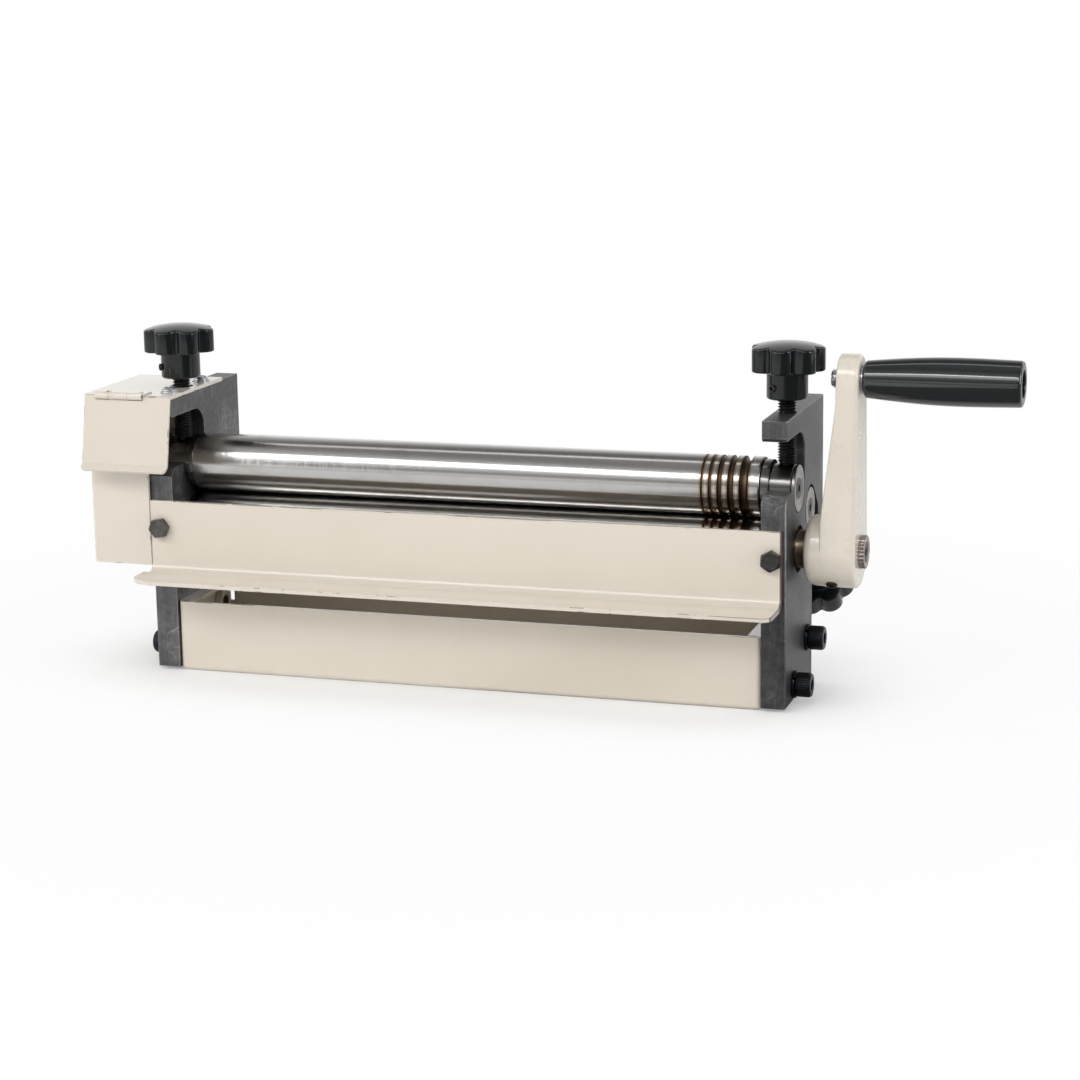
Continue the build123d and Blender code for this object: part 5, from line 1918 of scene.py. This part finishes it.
@dataclass(frozen=True)
class Viewpoint:
    """The camera, where the photograph was taken from."""

    position: Point = (0.46914, -1.33832, 0.38871)
    ahead: Point = (-0.300466, 0.929127, -0.215508)
    up: Point = (-0.050894, 0.210008, 0.976374)
    lens: float = 88.67

    def build(self) -> None:
        """Makes the camera and gives it to the scene."""
        data = bpy.data.cameras.new("viewpoint")
        data.lens = self.lens
        data.sensor_width = 36.0
        data.clip_start = 0.05
        data.clip_end = 60.0
        made = bpy.data.objects.new("viewpoint", data)
        ahead = unit(np.array(self.ahead))
        right = unit(np.cross(ahead, np.array(self.up)))
        stand(made, self.position, right, np.cross(right, ahead), -ahead)
        bpy.context.scene.camera = made


@dataclass(frozen=True)
class Softbox:
    """A lamp with an even rectangular face."""

    name: str
    spot: Point
    size: tuple[float, float]
    power: float

    def build(self, aim: Point) -> None:
        """Makes the lamp.

        Args:
            aim: The point that it faces.
        """
        data = bpy.data.lights.new(self.name, "AREA")
        data.shape = "RECTANGLE"
        data.size, data.size_y = self.size
        data.energy = self.power
        back = unit(np.array(self.spot) - np.array(aim))
        right = unit(np.cross(np.array((0.0, 0.0, 1.0)), back))
        made = bpy.data.objects.new(self.name, data)
        stand(made, self.spot, right, np.cross(back, right), back)


@dataclass
class Studio:
    """A pale floor, a pale surround and soft lamps.

    The surround's levels are pairs of a height in degrees over the floor and a brightness, in
    front of the slip roll and behind it. The right front quarter, round the shaded direction,
    is darker, and so is the floor there where a surface mirrors it.
    """

    floor_size: float = 60.0
    floor_colour: Colour = (0.93, 0.93, 0.925)
    floor_dusk: Colour = (0.07, 0.07, 0.07)
    sky_dusk: Colour = (0.06, 0.06, 0.06)
    white: Colour = (1.0, 1.0, 1.0)
    shadow_reach: float = 0.09
    front: Sequence[tuple[float, float]] = (
        (0.0, 0.98), (4.0, 0.92), (7.0, 0.62), (10.5, 0.28), (13.5, 0.32), (20.0, 0.62),
        (27.0, 0.80), (36.0, 0.80), (52.0, 0.52), (60.0, 0.34), (66.0, 0.26), (90.0, 0.38),
    )
    back: Sequence[tuple[float, float]] = (
        (0.0, 1.15), (10.0, 1.10), (21.0, 0.88), (32.0, 0.64), (43.0, 0.38), (53.0, 0.17),
        (64.0, 0.18), (76.0, 0.36), (90.0, 0.38),
    )
    shaded: Point = (0.80, -0.58, 0.14)
    aim: Point = (0.0, 0.0, 0.08)
    lamps: Sequence[Softbox] = (
        Softbox("front_strip", (-0.5, -1.45, 1.27), (4.6, 0.46), 14.0),
        Softbox("front_line", (-0.4, -1.40, 1.44), (4.4, 0.13), 12.5),
        Softbox("top_strip", (0.0, 0.30, 1.5), (4.0, 0.16), 2.5),
        Softbox("side_softbox", (2.0, -0.35, 0.75), (0.8, 1.1), 13.0),
        Softbox("left_strip", (-1.5, -1.3, 0.7), (0.25, 1.2), 3.6),
    )

    def floor(self) -> None:
        """A flat floor under the slip roll.

        The camera sees it white, apart from the shadow near the slip roll: what is kept of the
        lit paper is the share of the sky that is hidden over a point, fading out further away.
        """
        edge = np.linspace(-self.floor_size / 2, self.floor_size / 2, 3)
        x, y = np.meshgrid(edge, edge)
        made = Surface.grid(np.stack([x, y, 0 * x], axis=-1), loop_cols=False).piece("floor")
        material = bpy.data.materials.new("floor_paper")
        made.data.materials.append(material)
        graph = Graph(material)
        grey = tuple(value * 0.985 for value in self.floor_colour)
        colour = graph.mix(graph.noise(1.2, 2.0), self.floor_colour, grey)
        paper = graph.principled(Base_Color=colour, Roughness=0.9)
        clear = graph.signal(
            "ShaderNodeAmbientOcclusion", {"samples": 8}, {"Distance": self.shadow_reach}, "AO"
        )
        near = 1.0 - graph.measure("LENGTH", graph.place()).smooth(0.30, 0.55)
        kept = ((1.0 - clear.smooth(0.45, 0.96)) * 0.6 + 0.10) * near
        seen = graph.blend((1.0 - kept) * graph.ray("Camera"), paper, self.glow(graph, self.white))
        way = graph.node("ShaderNodeVectorMath", {"operation": "NORMALIZE"}, {0: graph.place()})
        toward = graph.measure("DOT_PRODUCT", way.outputs[0], self.shaded)
        dark = toward.smooth(0.68, 0.84) * 0.86 * graph.ray("Glossy")
        graph.close(graph.blend(dark, seen, self.glow(graph, self.floor_dusk)))

    def glow(self, graph: Graph, colour: Colour) -> bpy.types.NodeSocket:
        """A shader that gives off a colour by itself."""
        return graph.node("ShaderNodeEmission", None, {"Color": rgba(colour)}).outputs[0]

    def sky(
        self, graph: Graph, height: bpy.types.NodeSocket, levels: Sequence[tuple[float, float]]
    ) -> bpy.types.NodeSocket:
        """One side's colour at the sine of a height, a little warmer than grey.

        Args:
            graph: The world's graph.
            height: The sine of the height.
            levels: The side's heights in degrees and its brightness there.

        Returns:
            The colour's socket.
        """
        stops = [
            (math.sin(math.radians(degrees)), (level, level * 0.995, level * 0.985))
            for degrees, level in levels
        ]
        return graph.ramp(height, stops)

    def surround(self) -> None:
        """The world: white to the camera, and to all else a sky with a front and a back."""
        world = bpy.data.worlds.new("surround")
        graph = Graph(world, "ShaderNodeOutputWorld")
        way = graph.node("ShaderNodeTexCoord").outputs["Generated"]
        parts = graph.node("ShaderNodeSeparateXYZ", None, {0: way}).outputs
        side = graph.signal(
            "ShaderNodeMapRange", None, {"Value": parts["Y"], "From Min": -0.25, "From Max": 0.25}
        )
        front, back = (self.sky(graph, parts["Z"], levels) for levels in (self.front, self.back))
        dark = graph.measure("DOT_PRODUCT", way, self.shaded).smooth(0.50, 0.86) * 0.8
        colour = graph.mix(dark, graph.mix(side, front, back), self.sky_dusk)
        lit, seen = (
            graph.node("ShaderNodeBackground", None, {"Color": value}).outputs[0]
            for value in (colour, rgba(self.white))
        )
        graph.close(graph.blend(graph.ray("Camera"), lit, seen))
        bpy.context.scene.world = world

    def build(self) -> None:
        """Makes the floor, the surround and the lamps."""
        self.floor()
        self.surround()
        for lamp in self.lamps:
            lamp.build(self.aim)
        bpy.context.scene.view_settings.view_transform = "Standard"


@dataclass
class Adjusters:
    """The four adjusting screws, each pair at its own level."""

    axis_x: float = 172.6 * MM
    levels: Sequence[tuple[str, tuple[float, float], Point, float]] = (
        ("top", TOP_AXIS, (0.0, 0.0, 1.0), 47.4 * MM),
        ("rear", REAR_AXIS, (0.0, math.sqrt(0.5), -math.sqrt(0.5)), 52.5 * MM),
    )
    top_turns: Sequence[tuple[float, float]] = ((50.0, 4.7), (31.0, 12.2))

    def build(self) -> None:
        """Makes each screw. The top knobs stand as they were left, at the turns given."""
        for level, seat, run, hub_start in self.levels:
            for number, (side, out) in enumerate((("left", -1), ("right", 1))):
                turns = self.top_turns[number] if level == "top" else (0.0, 0.0)
                spot = (out * self.axis_x, *seat)
                Adjuster(f"{side}_{level}", spot, run, hub_start, *turns).build()


def main() -> None:
    """Builds the sub-assemblies in order, and reports each."""
    logging.basicConfig(level=logging.INFO, format="%(message)s")
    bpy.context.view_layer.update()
    Viewpoint().build()
    Studio().build()
    gear_end = -193.8 * MM
    plain_end = 177.6 * MM
    plain_step = [(plain_end, 8.0 * MM)]
    crank_steps = [(184.5 * MM, 10.2 * MM), (211.0 * MM, 7.98 * MM)]
    assemblies: list[Any] = [
        Plates(),
        Roll("lower_roll", "drive", LOWER_AXIS, gear_end, crank_steps),
        Roll("top_roll", "top_roller", TOP_AXIS, gear_end, plain_step),
        Roll("rear_roll", "rear_roller", REAR_AXIS, -plain_end, plain_step, grooved=False),
        RollEnds(),
        Gears(),
        Adjusters(),
        Crank(),
        Tray(),
        FrontGuard(),
        GearHousing(),
    ]
    for assembly in assemblies:
        LOG.info("building %s", type(assembly).__name__)
        assembly.build()


if __name__ == "__main__":
    main()
